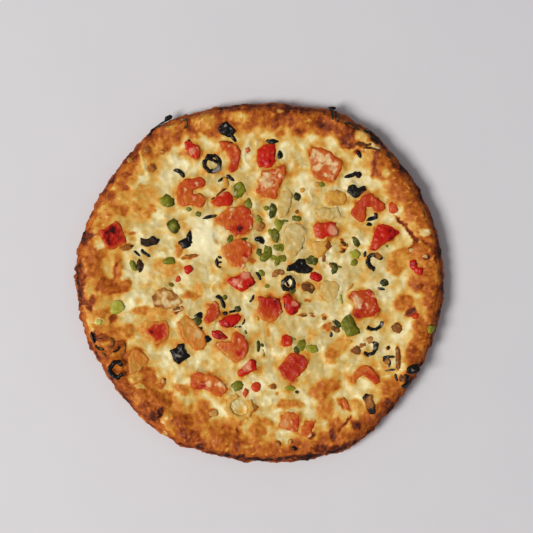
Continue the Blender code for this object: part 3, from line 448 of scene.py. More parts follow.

# How each larger piece looks: tone in the middle, change of tone at its outline, change of tone
# across it and in which direction, and how much cheese covers its middle and its outline, which on
# red peppers and olives also stands for painted highlights
LOOKS = {
    "tomato_01": (0.52, -0.04, 0.13, -10, 0.05, 0.15),
    "tomato_02": (0.42, 0.06, 0.05, 90, 0.46, 0.15),
    "tomato_03": (0.42, 0.02, 0.04, 0, 0.5, 0.1),
    "tomato_04": (0.84, -0.32, 0.03, 20, 0.0, 0.1),
    "tomato_05": (0.68, -0.5, 0.1, -40, 0, 0.1),
    "tomato_06": (0.1, 0.14, 0.06, -60, 0.05, 0.1),
    "tomato_07": (0.44, -0.08, 0.14, 0, 0.05, 0.25),
    "tomato_08": (0.66, -0.12, 0.05, 200, 0.0, 0.1),
    "tomato_09": (0.46, -0.12, 0.2, 30, 0.1, 0.15),
    "tomato_10": (0.68, -0.1, 0.3, 65, 0.0, 0.1),
    "tomato_11": (0.76, -0.12, 0.03, -60, 0.0, 0.05),
    "tomato_12": (0.6, 0.04, 0.08, -10, 0.2, 0.1),
    "tomato_13": (0.38, 0.02, -0.06, 0, 0.15, 0.2),
    "tomato_14": (0.38, 0.04, 0.08, -10, 0.1, 0.25),
    "tomato_15": (0.4, 0.02, 0.05, 0, 0.15, 0.25),
    "tomato_16": (0.04, 0.06, 0.03, 60, 0, 0.15),
    "tomato_17": (0.5, 0.0, 0.1, 60, 0.1, 0.0),
    "tomato_18": (0.56, 0.0, -0.08, 90, 0.1, 0.0),
    "tomato_19": (0.6, 0.0, 0.05, 90, 0.1, 0.0),
    "tomato_20": (0.44, 0, 0.16, -20, 0.2, 0.1),
    "red_pepper_01": (0.78, -0.06, 0.04, 0, 0.0, 0.05),
    "red_pepper_02": (0.78, -0.05, 0.1, 130, 0.15, 0.1),
    "red_pepper_03": (0.7, -0.05, 0.08, 0, 0.1, 0.1),
    "red_pepper_04": (0.8, 0.0, 0.03, 0, 0.3, 0.0),
    "red_pepper_05": (0.84, 0.0, 0.05, -90, 0.0, 0.0),
    "red_pepper_06": (0.74, 0.04, 0.03, 0, 0.28, 0.0),
    "red_pepper_07": (0.83, 0.0, 0.03, 0, 0.05, 0.0),
    "red_pepper_08": (0.72, 0.0, 0.22, -20, 0.0, 0.1),
    "red_pepper_09": (0.7, 0.0, -0.06, 0, 0.05, 0.05),
    "red_pepper_10": (0.78, -0.04, 0.12, 10, 0.0, 0.0),
    "red_pepper_11": (0.8, 0.0, 0.02, 0, 0.0, 0.0),
    "olive_01": (0.1, 0.0, 0.05, 0, 0.3, 0.0),
    "olive_02": (0.1, 0.0, 0.05, 0, 0.16, 0.0),
    "olive_03": (0.05, 0.0, 0.05, 0, 0.0, 0.0),
    "olive_04": (0.02, 0.0, 0.03, 0, 0.3, 0.0),
    "olive_05": (0.05, 0.0, 0.05, 0, 0.3, 0.0),
    "olive_06": (0.1, 0.05, 0.05, 0, 0.34, 0.05),
    "olive_07": (0.1, 0.05, 0.05, 0, 0.4, 0.2),
    "olive_08": (0.02, 0.0, 0.12, 40, 0.3, 0.0),
    "olive_09": (0.05, 0.0, 0.05, 0, 0.16, 0.0),
    "olive_10": (0.15, 0.0, 0.1, 90, 0.3, 0.2),
    "olive_11": (0.05, 0.0, 0.05, 0, 0.16, 0.0),
    "green_pepper_01": (0.5, -0.1, -0.16, 0, 0.0, 0.1),
    "green_pepper_02": (0.5, -0.1, 0.08, 90, 0.1, 0.1),
    "green_pepper_03": (0.42, -0.08, -0.12, 35, 0.0, 0.05),
    "green_pepper_04": (0.45, -0.08, 0.08, -90, 0.1, 0.15),
    "green_pepper_05": (0.46, -0.2, 0.05, 200, 0.0, 0.05),
    "onion_01": (0.62, -0.08, 0.05, 90, 0.1, 0.1),
    "onion_02": (0.66, -0.06, 0.04, 90, 0.1, 0.1),
    "onion_03": (0.3, -0.06, 0.06, 180, 0, 0.1),
    "onion_04": (0.6, 0.0, 0.05, 0, 0.15, 0.1),
    "onion_05": (0.34, -0.06, -0.16, 0, 0.0, 0.05),
    "onion_06": (0.58, -0.05, 0.04, 0, 0.1, 0.2),
    "onion_07": (0.42, -0.06, 0.05, 120, 0.05, 0.1),
    "mushroom_01": (0.9, -0.22, 0.04, 30, 0.4, 0.1),
    "mushroom_02": (0.16, -0.06, 0.08, 180, 0, 0),
    "mushroom_03": (0.46, -0.1, -0.06, 0, 0.0, 0.0),
    "mushroom_04": (0.6, -0.1, 0.04, 0, 0.0, 0.0),
}

# Marks on the larger pieces: x, y, radius, change of tone and change of cheese cover
MARKS = (
    (-109, 39, 5, 0.2, 0), (-75, -35, 5, 0.08, 0), (-80, -36, 3, 0.2, 0), (-40, -75, 3, 0.34, 0),
    (-44, -79, 2.6, 0.3, 0), (-36, -75, 2.2, -0.1, 0.8), (-28, -78, 4, 0.08, 0),
    (72, -15, 4.5, 0, 0.7), (73, -26, 3.5, 0.3, 0), (76, -18, 3, 0.2, 0), (30, -103, 3, 0.22, 0),
    (41, -106, 3, 0.2, 0), (-88, -54, 4, 0.18, 0), (-89, -60, 2.4, 0.12, 0), (-13, 39, 3, 0.34, 0),
    (-18, 36, 6, 0.14, 0), (-9, 19, 2, 0.35, 0), (-10, 10, 2, 0.2, 0), (-9, 5, 3.6, 0, 0.7),
    (-16, 0, 2.6, 0, 0.75), (-8, -62, 3.6, -0.08, 0.55), (56, 38, 4, -0.05, 0.85),
    (-43, 103, 3, 0.2, 0), (-48, 96, 2.6, 0, 0.6), (-27, 67, 3, 0, 0.85), (27, -16, 2.2, -0.1, 0.6),
    (82, -70, 3, 0.2, 0), (76, -68, 4, 0.05, 0), (56, 20, 4, -0.2, 0), (53, 27, 3, -0.25, 0),
    (-73, 59, 3, 0.25, 0), (79, -82, 3, -0.45, 0), (87, -95, 4, -0.5, 0), (82, -96, 3, -0.45, 0),
    (-76, -19, 3, -0.14, 0), (-63, -11, 3.4, -0.18, 0), (-77, -11, 2, -0.1, 0), (6, 74, 4, 0, 0.4),
    (12, 66, 3, 0.1, -0.4), (-30, 83, 3, 0, 0.5), (-27, 82, 2.4, 0.3, 0.4), (86, 22, 2, 0.7, 0),
    (89, 20, 2.4, 0.9, 0), (44, 92, 2, 0.1, -0.3), (55, 84, 2, 0.15, -0.3),
    (-24, -40, 3, 0.18, -0.1), (-13, -52, 2.6, 0.22, 0), (-22, -54, 4, -0.12, 0),
    (-55, -31, 3, -0.1, 0), (-44, -38, 3, -0.1, 0.5), (20, -104, 3, -0.08, 0.3),
)

# Baking's colours, from pale cheese to char
BAKE_TONES = (
    (0.0, (240, 227, 178)), (0.12, (229, 207, 146)), (0.25, (218, 181, 98)),
    (0.38, (213, 154, 62)), (0.5, (198, 121, 36)), (0.6, (179, 93, 21)),
    (0.7, (154, 70, 13)), (0.8, (120, 48, 9)), (0.9, (74, 26, 6)), (1.0, (30, 10, 4)),
)
FRESH_CHEESE = (241, 230, 186)
# The olive-tan of vegetable juices' stain, also used as painted shade in the middle
JUICE_STAIN_AND_SHADE = (188, 162, 96)

# Each kind's colours by tone, the cheese over it, which on red peppers and olives is also a painted
# highlight, its roughness and how far it is domed
KINDS = {
    "tomato": (
        ((0.0, (186, 132, 50)), (0.2, (202, 122, 44)), (0.4, (196, 94, 30)),
         (0.55, (186, 68, 20)), (0.7, (176, 46, 14)), (0.82, (170, 24, 9)),
         (0.92, (112, 12, 6)), (1.0, (46, 8, 4))),
        (233, 204, 148), 0.3, -0.25,
    ),
    # The red pepper's pinkish cover is cheese and painted highlight
    "red_pepper": (
        ((0.0, (214, 150, 76)), (0.3, (206, 104, 40)), (0.55, (194, 64, 22)),
         (0.72, (188, 36, 13)), (0.84, (184, 16, 9)), (0.92, (124, 10, 6)),
         (1.0, (46, 7, 4))),
        (226, 168, 126), 0.26, 0.5,
    ),
    # The olive's grey cover is cheese residue and painted highlight on the black skin
    "olive": (
        ((0.0, (15, 12, 11)), (0.3, (34, 24, 14)), (0.6, (84, 58, 24)), (1.0, (170, 100, 34))),
        (166, 160, 146), 0.24, 0.1,
    ),
    "green_pepper": (
        ((0.0, (26, 28, 6)), (0.25, (68, 70, 12)), (0.5, (120, 118, 22)),
         (0.75, (160, 154, 40)), (1.0, (202, 196, 112))),
        (214, 200, 140), 0.32, 0.35,
    ),
    "onion": (
        ((0.0, (132, 66, 22)), (0.3, (211, 153, 58)), (0.6, (198, 168, 98)),
         (1.0, (226, 210, 160))),
        (228, 210, 158), 0.34, 0.2,
    ),
    "mushroom": (
        ((0.0, (20, 12, 6)), (0.3, (66, 38, 10)), (0.6, (150, 86, 28)),
         (0.8, (190, 138, 66)), (1.0, (222, 198, 144))),
        (226, 206, 154), 0.5, -0.1,
    ),
}


def scatter(cells, seed):
    """A repeatable number from -1 to 1 for each whole-numbered place."""
    mixed = np.full(cells.shape[:-1], seed * 2654435761 + 97, np.uint64)
    for axis, factor in zip(range(cells.shape[-1]), (73856093, 19349663, 83492791)):
        mixed ^= cells[..., axis].astype(np.uint64) * np.uint64(factor)
    mixed = (mixed ^ (mixed >> np.uint64(15))) * np.uint64(2246822519) & np.uint64(0xFFFFFFFF)
    mixed = (mixed ^ (mixed >> np.uint64(13))) * np.uint64(3266489917) & np.uint64(0xFFFFFFFF)
    return (mixed ^ (mixed >> np.uint64(16))).astype(float) / 2**31 - 1


def noise(places, length, seed=0):
    """Smooth noise of about -1 to 1 that changes over a length, at places given in rows."""
    scaled = np.asarray(places, float) / length + 1000
    cells = np.floor(scaled).astype(np.int64)
    inside = scaled - cells
    ease = inside**3 * (inside * (inside * 6 - 15) + 10)
    total = 0
    for corner in itertools.product((0, 1), repeat=inside.shape[-1]):
        corner = np.array(corner)
        share = np.prod(np.where(corner, ease, 1 - ease), axis=-1)
        slope = 0
        for axis in range(inside.shape[-1]):
            steep = scatter(cells + corner, seed * 31 + axis)
            slope = slope + steep * (inside[..., axis] - corner[axis])
        total = total + share * slope
    return total * 1.6


def uneven(name, places, seed=0):
    """The layers of noise of one uneven surface, added up."""
    return sum(amount * noise(places, length, seed + own) for amount, length, own in UNEVEN[name])


def blend(low, high, values):
    """Eases from 0 at low to 1 at high."""
    part = np.clip((values - low) / (high - low), 0, 1)
    return part * part * (3 - 2 * part)


def by_direction(table, degrees):
    """Reads a table of (direction, value) at any direction."""
    directions, values = zip(*table)
    return np.interp(degrees, directions, values, period=360)


def plane(x, y):
    """Places seen from above, in rows."""
    return np.stack((x, y), -1)


def warped(x, y, length, amount, seed):
    """The same places pushed about a little, so that what is drawn there gets a ragged outline."""
    places = plane(x, y)
    return (
        x + amount * noise(places, length, seed),
        y + amount * noise(places, length, seed + 1),
    )


def oval(x, y, row):
    """How far into an oval mark places lie: 1 in its middle, 0 at its edge."""
    centre_x, centre_y, long, wide, turn = row
    turn = math.radians(turn)
    along = (x - centre_x) * math.cos(turn) + (y - centre_y) * math.sin(turn)
    across = (y - centre_y) * math.cos(turn) - (x - centre_x) * math.sin(turn)
    return 1 - np.hypot(along / long, across / wide)


def crease_cover(x, y, row):
    """How near places are to a line: 1 on it, falling to 0 at about twice its half width."""
    from_x, from_y, to_x, to_y, half = row
    long_x, long_y = to_x - from_x, to_y - from_y
    part = ((x - from_x) * long_x + (y - from_y) * long_y) / (long_x**2 + long_y**2)
    part = np.clip(part, 0, 1)
    away = np.hypot(x - from_x - part * long_x, y - from_y - part * long_y)
    return np.exp(-((away / half) ** 2))


class Map:
    """Numbers over the whole pizza on an even grid, which can be read anywhere between."""

    COUNT = int(2 * MAP_REACH / MAP_STEP) + 1
    LINE = np.arange(COUNT) * MAP_STEP - MAP_REACH
    X, Y = np.meshgrid(LINE, LINE, indexing="ij")

    def __init__(self, values):
        self.values = values

    def at(self, x, y):
        across = np.clip((x + MAP_REACH) / MAP_STEP, 0, self.COUNT - 1.001)
        along = np.clip((y + MAP_REACH) / MAP_STEP, 0, self.COUNT - 1.001)
        i, j = across.astype(int), along.astype(int)
        u, v = across - i, along - j
        grid = self.values
        near = grid[i, j] * (1 - v) + grid[i, j + 1] * v
        far = grid[i + 1, j] * (1 - v) + grid[i + 1, j + 1] * v
        return near * (1 - u) + far * u


NEIGHBOURS = [step for step in itertools.product((-1, 0, 1), repeat=2) if step != (0, 0)]


def shifted(values, step):
    return np.roll(values, step, (0, 1))


def distance_from(marked, reach):
    """How far each place of a map is from the marked ones, up to a reach."""
    away = np.where(marked, 0.0, reach)
    for _ in range(int(reach / MAP_STEP) + 2):
        for step in NEIGHBOURS:
            away = np.minimum(away, shifted(away, step) + MAP_STEP * math.hypot(*step))
    return away


def blurred(values, radius):
    """A map smoothed over a radius."""
    reach = max(1, round(radius / MAP_STEP))
    for _ in range(3):
        for axis in (0, 1):
            values = sum(
                np.roll(values, step, axis) for step in range(-reach, reach + 1)
            ) / (2 * reach + 1)
    return values


def healed(values, hole):
    """Fills the holes of a map smoothly from what lies round them."""
    known = ~hole
    share = np.maximum(blurred(known * 1.0, HEAL_REACH), 1e-6)
    values = np.where(known, values, blurred(np.where(known, values, 0), HEAL_REACH) / share)
    for _ in range(HEAL_ROUNDS):
        average = sum(shifted(values, step) for step in NEIGHBOURS) / len(NEIGHBOURS)
        values = np.where(known, values, average)
    return values


def carried_out(values, steps):
    """A map with its values carried outwards into the empty places round them."""
    for _ in range(steps):
        for step in NEIGHBOURS:
            values = np.where(np.isnan(values), shifted(values, step), values)
    return values


def smooth_round(values, steps):
    """Smooths numbers that run round the pizza."""
    return sum(np.roll(values, step) for step in range(-steps, steps + 1)) / (2 * steps + 1)


def tree_of(node):
    """A solid's faces, ready for finding where lines meet them."""
    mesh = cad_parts[node].data
    return BVHTree.FromPolygons(
        [vertex.co for vertex in mesh.vertices], [face.vertices for face in mesh.polygons]
    )


def heights(node):
    """A map of how high a solid reaches, in millimetres, with nothing where it isn't."""
    tree = tree_of(node)
    low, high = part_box(node)
    values = np.full((Map.COUNT, Map.COUNT), np.nan)
    inside_x = np.flatnonzero((Map.LINE >= low.x / MM) & (Map.LINE <= high.x / MM))
    inside_y = np.flatnonzero((Map.LINE >= low.y / MM) & (Map.LINE <= high.y / MM))
    down = Vector((0, 0, -1))
    for i in inside_x:
        for j in inside_y:
            start = Vector((Map.LINE[i] * MM, Map.LINE[j] * MM, high.z + MM))
            hit = tree.ray_cast(start, down)[0]
            if hit is not None:
                values[i, j] = hit.z / MM
    return values


def crust_reach(angle, height, inward, slope):
    """How far the crust's side reaches along a ray through a point inside its rim."""
    out = Vector((math.cos(angle), math.sin(angle), 0))
    way = out * math.cos(slope) + Vector((0, 0, math.sin(slope)))
    middle = out * (inward * MM) + Vector((0, 0, height * MM))
    hit = crust_tree.ray_cast(middle + way * (RAY_START * MM), -way)[0]
    return (hit - middle).length / MM if hit is not None else 0.5


# The solids as maps: the crust, the cheese, and every piece that lies on it
TOPPINGS = sorted(set(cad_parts) - {"crust", "cheese"})
crust_top = heights("crust")
cheese_solid = heights("cheese")
piece_top = np.full(cheese_solid.shape, np.nan)
edge_cover = np.full(cheese_solid.shape, np.nan)
red_cover = np.zeros(cheese_solid.shape, bool)
for topping in TOPPINGS:
    reach = heights(topping)
    there = ~np.isnan(reach)
    piece_top = np.fmax(piece_top, reach)
    edge_cover[there] = LOOKS[topping][5]
    if topping.startswith(("tomato", "red_pepper")):
        red_cover |= there
covered = ~np.isnan(piece_top)

outside_piece = Map(distance_from(covered, OUTSIDE_REACH))
inside_piece = Map(distance_from(~covered, INSIDE_REACH))
outside_red = Map(distance_from(red_cover, OUTSIDE_REACH))

# The pieces' tops, read away from their rounded edges, and how much cheese covers their outlines
level_top = np.where(inside_piece.values < ROUNDED_EDGE, np.nan, piece_top)
near_top = Map(np.nan_to_num(carried_out(level_top, CARRY_STEPS), nan=0.0))
near_cover = Map(np.nan_to_num(carried_out(edge_cover, CARRY_STEPS - 3), nan=0.1))

# The crust's outline in even directions, and smoothed
crust_tree = tree_of("crust")
angles = np.arange(OUTLINE_STEPS) * math.tau / OUTLINE_STEPS
outline = np.array(
    [crust_reach(angle, OUTLINE_HEIGHT, OUTLINE_FROM, 0) + OUTLINE_FROM for angle in angles]
)
even_outline = smooth_round(smooth_round(outline, OUTLINE_SMOOTHING), OUTLINE_SMOOTHING)

# Where the cheese ends: the last place in each direction that its solid covers
cheese_known = Map(np.where(np.isnan(cheese_solid), 0.0, 1.0))
tried = np.arange(*CHEESE_END_SEARCH)
tried_x, tried_y = np.outer(np.cos(angles), tried), np.outer(np.sin(angles), tried)
covering = cheese_known.at(tried_x, tried_y) > 0.5
cheese_edge = smooth_round(np.where(covering, tried, 0).max(1), 3)

# The cheese without the pieces and bits on it, its solid's pockets, and the crust under it
bit_places = [
    (x, y, LARGE_BIT_CLEARED if long >= LARGE_BIT else SMALL_BIT_CLEARED)
    for rows in BITS.values() for x, y, long, *_ in rows
]
bit_places += [
    (x, y, STRIP_CLEARED) for rows in STRIPS.values() for row in rows for x, y in row[2:]
]
under_bit = np.zeros(covered.shape, bool)
for x, y, reach in bit_places:
    under_bit |= np.hypot(Map.X - x, Map.Y - y) < reach
unknown = np.isnan(cheese_solid) | (distance_from(covered, 2) < PIECE_CLEARED) | under_bit
cheese_smooth = Map(blurred(healed(np.nan_to_num(cheese_solid), unknown), 1.6))
pocket = Map(np.where(np.isnan(cheese_solid), NO_POCKET, cheese_solid))
crust_below = Map(blurred(healed(np.nan_to_num(crust_top), np.isnan(crust_top)), 0.8))


def inset(x, y):
    """How far a place lies in from the crust's smoothed outline."""
    turn = np.degrees(np.arctan2(y, x)) % 360
    edge = np.interp(turn, np.degrees(angles), even_outline, period=360)
    return edge - np.hypot(x, y)


def ground(x, y):
    """The height of what a bit lies on: the cheese, or the crust where the cheese has ended."""
    reach = cheese_known.at(x, y)
    return cheese_smooth.at(x, y) * reach + crust_below.at(x, y) * (1 - reach)


def add_band(level, places, turn, depth):
    """Lays the rim's browned band over the baking. The extra baking that its table gives ends
    before the band itself does, so the band fades out through gold."""
    band = depth / by_direction(BROWN_BAND, turn) + uneven("band", places)
    rim = np.interp(band, *zip(*BAND_BAKING)) + uneven("rim", places)
    rim += by_direction(RIM_BAKED, turn) * blend(1.05, 0.55, band)
    return level + (rim - level) * blend(1.25, 0.78, band)


def add_patches(level, x, y, places):
    """Lays the browned and pale places over the baking, in their order, and then the creases."""
    ragged_x, ragged_y = warped(*warped(x, y, *PATCH_WARP), *PATCH_FRINGE)
    patchy = PATCH_EXTRA + 0.5 * uneven("patch", places)
    for row in BAKED:
        reach = row[2] + row[3] + 4
        near = (abs(x - row[0]) < reach) & (abs(y - row[1]) < reach)
        cover = blend(-0.3, 0.35, oval(ragged_x[near], ragged_y[near], row[:5]))
        level[near] += (row[5] + patchy[near] - level[near]) * cover * PATCH_STRENGTH
    for row in CREASES:
        baked, share = DARK_CREASE if row[5] < 0 else PALE_STRAND
        level += (baked - level) * crease_cover(ragged_x, ragged_y, row[:5]) * share
    return level


def add_char(level, places, turn, depth):
    """Chars the outer edge, and then lays dark and pale specks over the rim."""
    char = by_direction(CHAR, turn) * (1 + 0.5 * noise(places, 9, 8))
    level += 0.34 * char * blend(5.5, 1, depth + 1.4 * noise(places, 4, 9))
    level += 0.1 * blend(3.5, 0, depth)
    level += 0.15 * blend(0.35, 0.65, noise(places, 2.0, 10)) * blend(22, 4, depth)
    pale = blend(0.3, 0.6, noise(places, 2.6, 17))
    return level - 0.2 * pale * blend(30, 6, depth) * blend(1, 3, depth)


def baking(x, y):
    """How baked the surface is at places seen from above, with browning and painted shade round the
    pieces.
    """
    places = plane(x, y)
    turn = np.degrees(np.arctan2(y, x)) % 360
    depth = inset(x, y)
    level = PALE_BAKING + uneven("pale cheese", places)
    level += RED_HALO * np.exp(-outside_red.at(x, y) / RED_HALO_WIDTH)
    # Browning and painted shade in a thin band round every piece, where the cheese meets it
    level += PIECE_BROWNING_AND_SHADE * np.exp(-outside_piece.at(x, y) / PIECE_BROWNING_AND_SHADE_WIDTH)
    level = add_band(level, places, turn, depth)
    level = add_patches(level, x, y, places)
    return np.clip(add_char(level, places, turn, depth), 0, 1)


def cling(height, x, y, places):
    """Draws the cheese up against the pieces, and keeps it in the solid's pocket under them."""
    within = inside_piece.at(x, y)
    # A piece whose outline the cheese covers is gripped higher
    grip = uneven("grip", places) + 3 * near_cover.at(x, y) - 0.9
    brim = near_top.at(x, y) + grip - 0.5 * within
    height += np.maximum(brim - height, 0) * np.exp(-outside_piece.at(x, y) / CLING_WIDTH)
    return height + (np.minimum(pocket.at(x, y), height) - height) * blend(1.8, 3.2, within)


def cheese_surface(x, y):
    """The cheese's height at places, its baking, how fresh it is, and its tint of vegetable juices'
    stain and painted shade.
    """
    places = plane(x, y)
    bake = baking(x, y)
    toasted = blend(0.35, 0.7, bake)
    height = cheese_smooth.at(x, y) + uneven("lumps", places)
    height += toasted * (uneven("toasted", places) - 0.5 * abs(noise(places, 4.4, 26)))
    # The larger browned patches rise as blisters
    bent = warped(x, y, *PATCH_WARP)
    for row in BAKED:
        if BLISTER_BAKING[0] < row[5] < BLISTER_BAKING[1] and min(row[2:4]) > BLISTER_LEAST:
            height += BLISTER_RISE * blend(-0.1, 0.7, oval(*bent, row[:5]))
    # Pale strands of melted cheese wind along where a noise is near nought
    strand = blend(0.2, 0, abs(noise(plane(*warped(x, y, 9, 3, 35)), 10, 37)))
    strand = strand * blend(0, 0.4, noise(places, 14, 38)) * blend(0.5, 0.3, bake)
    height += STRAND_RISE * strand
    bake = np.clip(bake - 0.16 * strand, 0, 1)
    for row in CREASES:
        height += row[5] * crease_cover(x, y, row[:5])
    height = cling(height, x, y, places)
    # Fresh cheese stays white on its mound and in a few broad places; the rest is tinted with
    # vegetable juices' stain and painted shade
    fresh = blend(-0.35, 0.5, oval(*warped(x, y, 6, 2.5, 31), FRESH_MOUND))
    fresh = np.maximum(fresh, 0.55 * blend(0.2, 0.7, noise(places, 15, 32))) * blend(0.4, 0.2, bake)
    # Painted shade: the tint is made stronger towards the middle
    middle = 0.3 * blend(75, 45, np.hypot(x, y))
    stain = blend(-0.25, 0.4, uneven("stain and shade", places) + middle)
    stain = stain * blend(15, 45, inset(x, y)) * (1 - fresh) * blend(0.42, 0.26, bake)
    return height, bake, fresh, stain


def add_piece(name, points, faces, material, slot, values):
    """A mesh object from points in millimetres, riding on the pizza, with numbers kept on it."""
    mesh = bpy.data.meshes.new(name)
    mesh.from_pydata((np.asarray(points) * MM).tolist(), [], [list(face) for face in faces])
    return finish_piece(name, mesh, material, slot, values)


def finish_piece(name, mesh, material, slot, values):
    """Makes a mesh a smooth piece of the pizza, with its numbers and material. Its slot is not used.
    """
    mesh.polygons.foreach_set("use_smooth", [True] * len(mesh.polygons))
    for title, numbers in values.items():
        attribute = mesh.attributes.new(title, "FLOAT", "POINT")
        attribute.data.foreach_set("value", np.asarray(numbers, np.float32))
    mesh.materials.append(material)
    mesh.update()
    piece = bpy.data.objects.new(name, mesh)
    bpy.context.scene.collection.objects.link(piece)
    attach(piece, "root")
    return piece


def round_grid(cells):
    """A square grid drawn out to a round: how far out its places are, from 0 to 1, and where."""
    line = np.linspace(-1, 1, cells + 1)
    u, v = np.meshgrid(line, line, indexing="ij")
    wide = abs(u) >= abs(v)
    quarter = math.pi / 4
    angle = np.where(
        wide,
        quarter * v / np.where(wide & (u != 0), u, 1) + math.pi * (u < 0),
        math.pi / 2 - quarter * u / np.where(wide | (v == 0), 1, v) + math.pi * (v < 0),
    )
    return np.maximum(abs(u), abs(v)), angle


def make_cheese(material):
    """The melted cheese: a round grid draped to its heights and closed underneath along the
    crust."""
    ring, angle = round_grid(CHEESE_CELLS)
    degrees = np.degrees(angle) % 360
    edge = np.interp(degrees, np.degrees(angles), cheese_edge, period=360)
    rim_places = plane(edge * np.cos(angle), edge * np.sin(angle))
    edge = edge + by_direction(RAGGED, degrees) * uneven("cheese edge", rim_places)
    x, y = ring * edge * np.cos(angle), ring * edge * np.sin(angle)
    height, bake, fresh, stain = cheese_surface(x, y)
    lip = blend(0, CHEESE_LIP, (1 - ring) * edge)
    foot = crust_below.at(x, y) + LIP_HEIGHT
    height = foot + (height - foot) * lip

    # The grid's top
    count = CHEESE_CELLS + 1
    points = np.stack((x, y, height), -1).reshape(-1, 3)
    index = np.arange(count * count).reshape(count, count)
    faces = np.stack(
        (index[:-1, :-1], index[1:, :-1], index[1:, 1:], index[:-1, 1:]), -1
    ).reshape(-1, 4)

    # The underside: loops that step inwards just over the crust, and a fan that closes them
    border = np.concatenate((index[:-1, 0], index[-1, :-1], index[:0:-1, -1], index[0, :0:-1]))
    turn = angle.reshape(-1)[border]
    reach = np.interp(np.degrees(turn) % 360, np.degrees(angles), even_outline, period=360)
    start = len(points)
    loops, extra, under = [border], [], []
    for number, depth in enumerate(UNDER_INSETS):
        loop_x, loop_y = (reach - depth) * np.cos(turn), (reach - depth) * np.sin(turn)
        extra.append(np.stack((loop_x, loop_y, crust_below.at(loop_x, loop_y) + UNDER_GAP), -1))
        loops.append(start + number * len(border) + np.arange(len(border)))
    extra.append(np.array([[0, 0, crust_below.at(np.zeros(1), np.zeros(1))[0] + UNDER_GAP]]))
    for outer, inner in zip(loops, loops[1:]):
        under.append(np.stack((outer, inner, np.roll(inner, -1), np.roll(outer, -1)), -1))
    middle = start + len(UNDER_INSETS) * len(border)
    fan = [(a, middle, b) for a, b in zip(loops[-1], np.roll(loops[-1], -1))]

    points = np.concatenate([points] + extra)
    every = list(faces) + [face for rows in under for face in rows] + fan
    spare = len(points) - count * count
    values = {
        "bake": np.concatenate((bake.reshape(-1), np.full(spare, 0.3))),
        "fresh": np.concatenate((fresh.reshape(-1), np.zeros(spare))),
        "stain": np.concatenate((stain.reshape(-1), np.zeros(spare))),
    }
    piece = add_piece("melted_cheese", points, every, material, "cheese", values)
    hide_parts("cheese")


def section_places(reach):
    """The places of the crust's section from how far it reaches in each direction and slope."""
    along = even_outline[:, None] - SECTION_RADIUS + reach * np.cos(SECTION_SLOPES)
    height = SECTION_HEIGHT + reach * np.sin(SECTION_SLOPES)
    return np.stack((along * np.cos(angles)[:, None], along * np.sin(angles)[:, None], height), -1)


def make_crust(material):
    """The baked crust: its section read from the solid in each direction and roughened, with a
    flat bed inside and a flat underside."""
    reach = np.array([
        [crust_reach(angle, SECTION_HEIGHT, edge - SECTION_RADIUS, slope) for slope in SECTION_SLOPES]
        for angle, edge in zip(angles, even_outline)
    ])
    for _ in range(2):
        reach = (np.roll(reach, 1, 0) + reach + np.roll(reach, -1, 0)) / 3

    # Only the side that the cheese leaves open is roughened
    points = section_places(reach)
    open_side = blend(math.radians(80), math.radians(50), SECTION_SLOPES)
    rough = noise(points * (1, 1, 0.6), 6, 51) + uneven("crust side", points)
    rough *= by_direction(RAGGED, np.degrees(angles))[:, None]
    reach = reach + rough * open_side * blend(-1.02, -0.6, SECTION_SLOPES) - 0.2 * open_side
    points = section_places(reach)
    points[..., 2] = np.maximum(points[..., 2], 0.05)

    # Above, the crust is baked as the cheese beside it is, and down its side more evenly
    x, y, z = points[..., 0], points[..., 1], points[..., 2]
    side = blend(13.5, 9, z)
    lower = 0.62 + uneven("lower side", points)
    lower += 0.14 * blend(3, 0.2, z) + 0.1 * by_direction(CHAR, np.degrees(angles))[:, None]
    bake = np.clip(np.maximum(baking(x, y), 0.6) * (1 - side) + lower * side, 0, 1)

    # The section's faces, and the flat bed and base with their middles
    rows = len(SECTION_SLOPES)
    index = np.arange(OUTLINE_STEPS * rows).reshape(OUTLINE_STEPS, rows)
    after = np.roll(index, -1, 0)
    faces = np.stack((index[:, 1:], after[:, 1:], after[:, :-1], index[:, :-1]), -1)
    flat = points.reshape(-1, 3)
    start = len(flat)
    out = plane(np.cos(angles), np.sin(angles))
    bed_edge, base_edge = even_outline - BED_INSET, even_outline - BASE_INSET
    bed = np.column_stack((out * bed_edge[:, None], np.full(OUTLINE_STEPS, BED_HEIGHT)))
    base = np.column_stack((out * base_edge[:, None], np.zeros(OUTLINE_STEPS)))
    every = np.concatenate((flat, bed, base, [[0, 0, BED_HEIGHT], [0, 0, 0]]))
    bed_index = start + np.arange(OUTLINE_STEPS)
    base_index = bed_index + OUTLINE_STEPS
    bed_next, base_next = np.roll(bed_index, -1), np.roll(base_index, -1)
    top, bottom = len(every) - 2, len(every) - 1
    all_faces = faces.reshape(-1, 4).tolist()
    all_faces += np.stack((bed_index, index[:, 0], after[:, 0], bed_next), -1).tolist()
    all_faces += np.stack((index[:, -1], base_index, base_next, after[:, -1]), -1).tolist()
    all_faces += [(top, a, b) for a, b in zip(bed_index, bed_next)]
    all_faces += [(bottom, b, a) for a, b in zip(base_index, base_next)]
    bake = np.concatenate((bake.reshape(-1), np.full(len(every) - start, 0.62)))
    piece = add_piece("baked_crust", every, all_faces, material, "crust", {"bake": bake})
    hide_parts("crust")


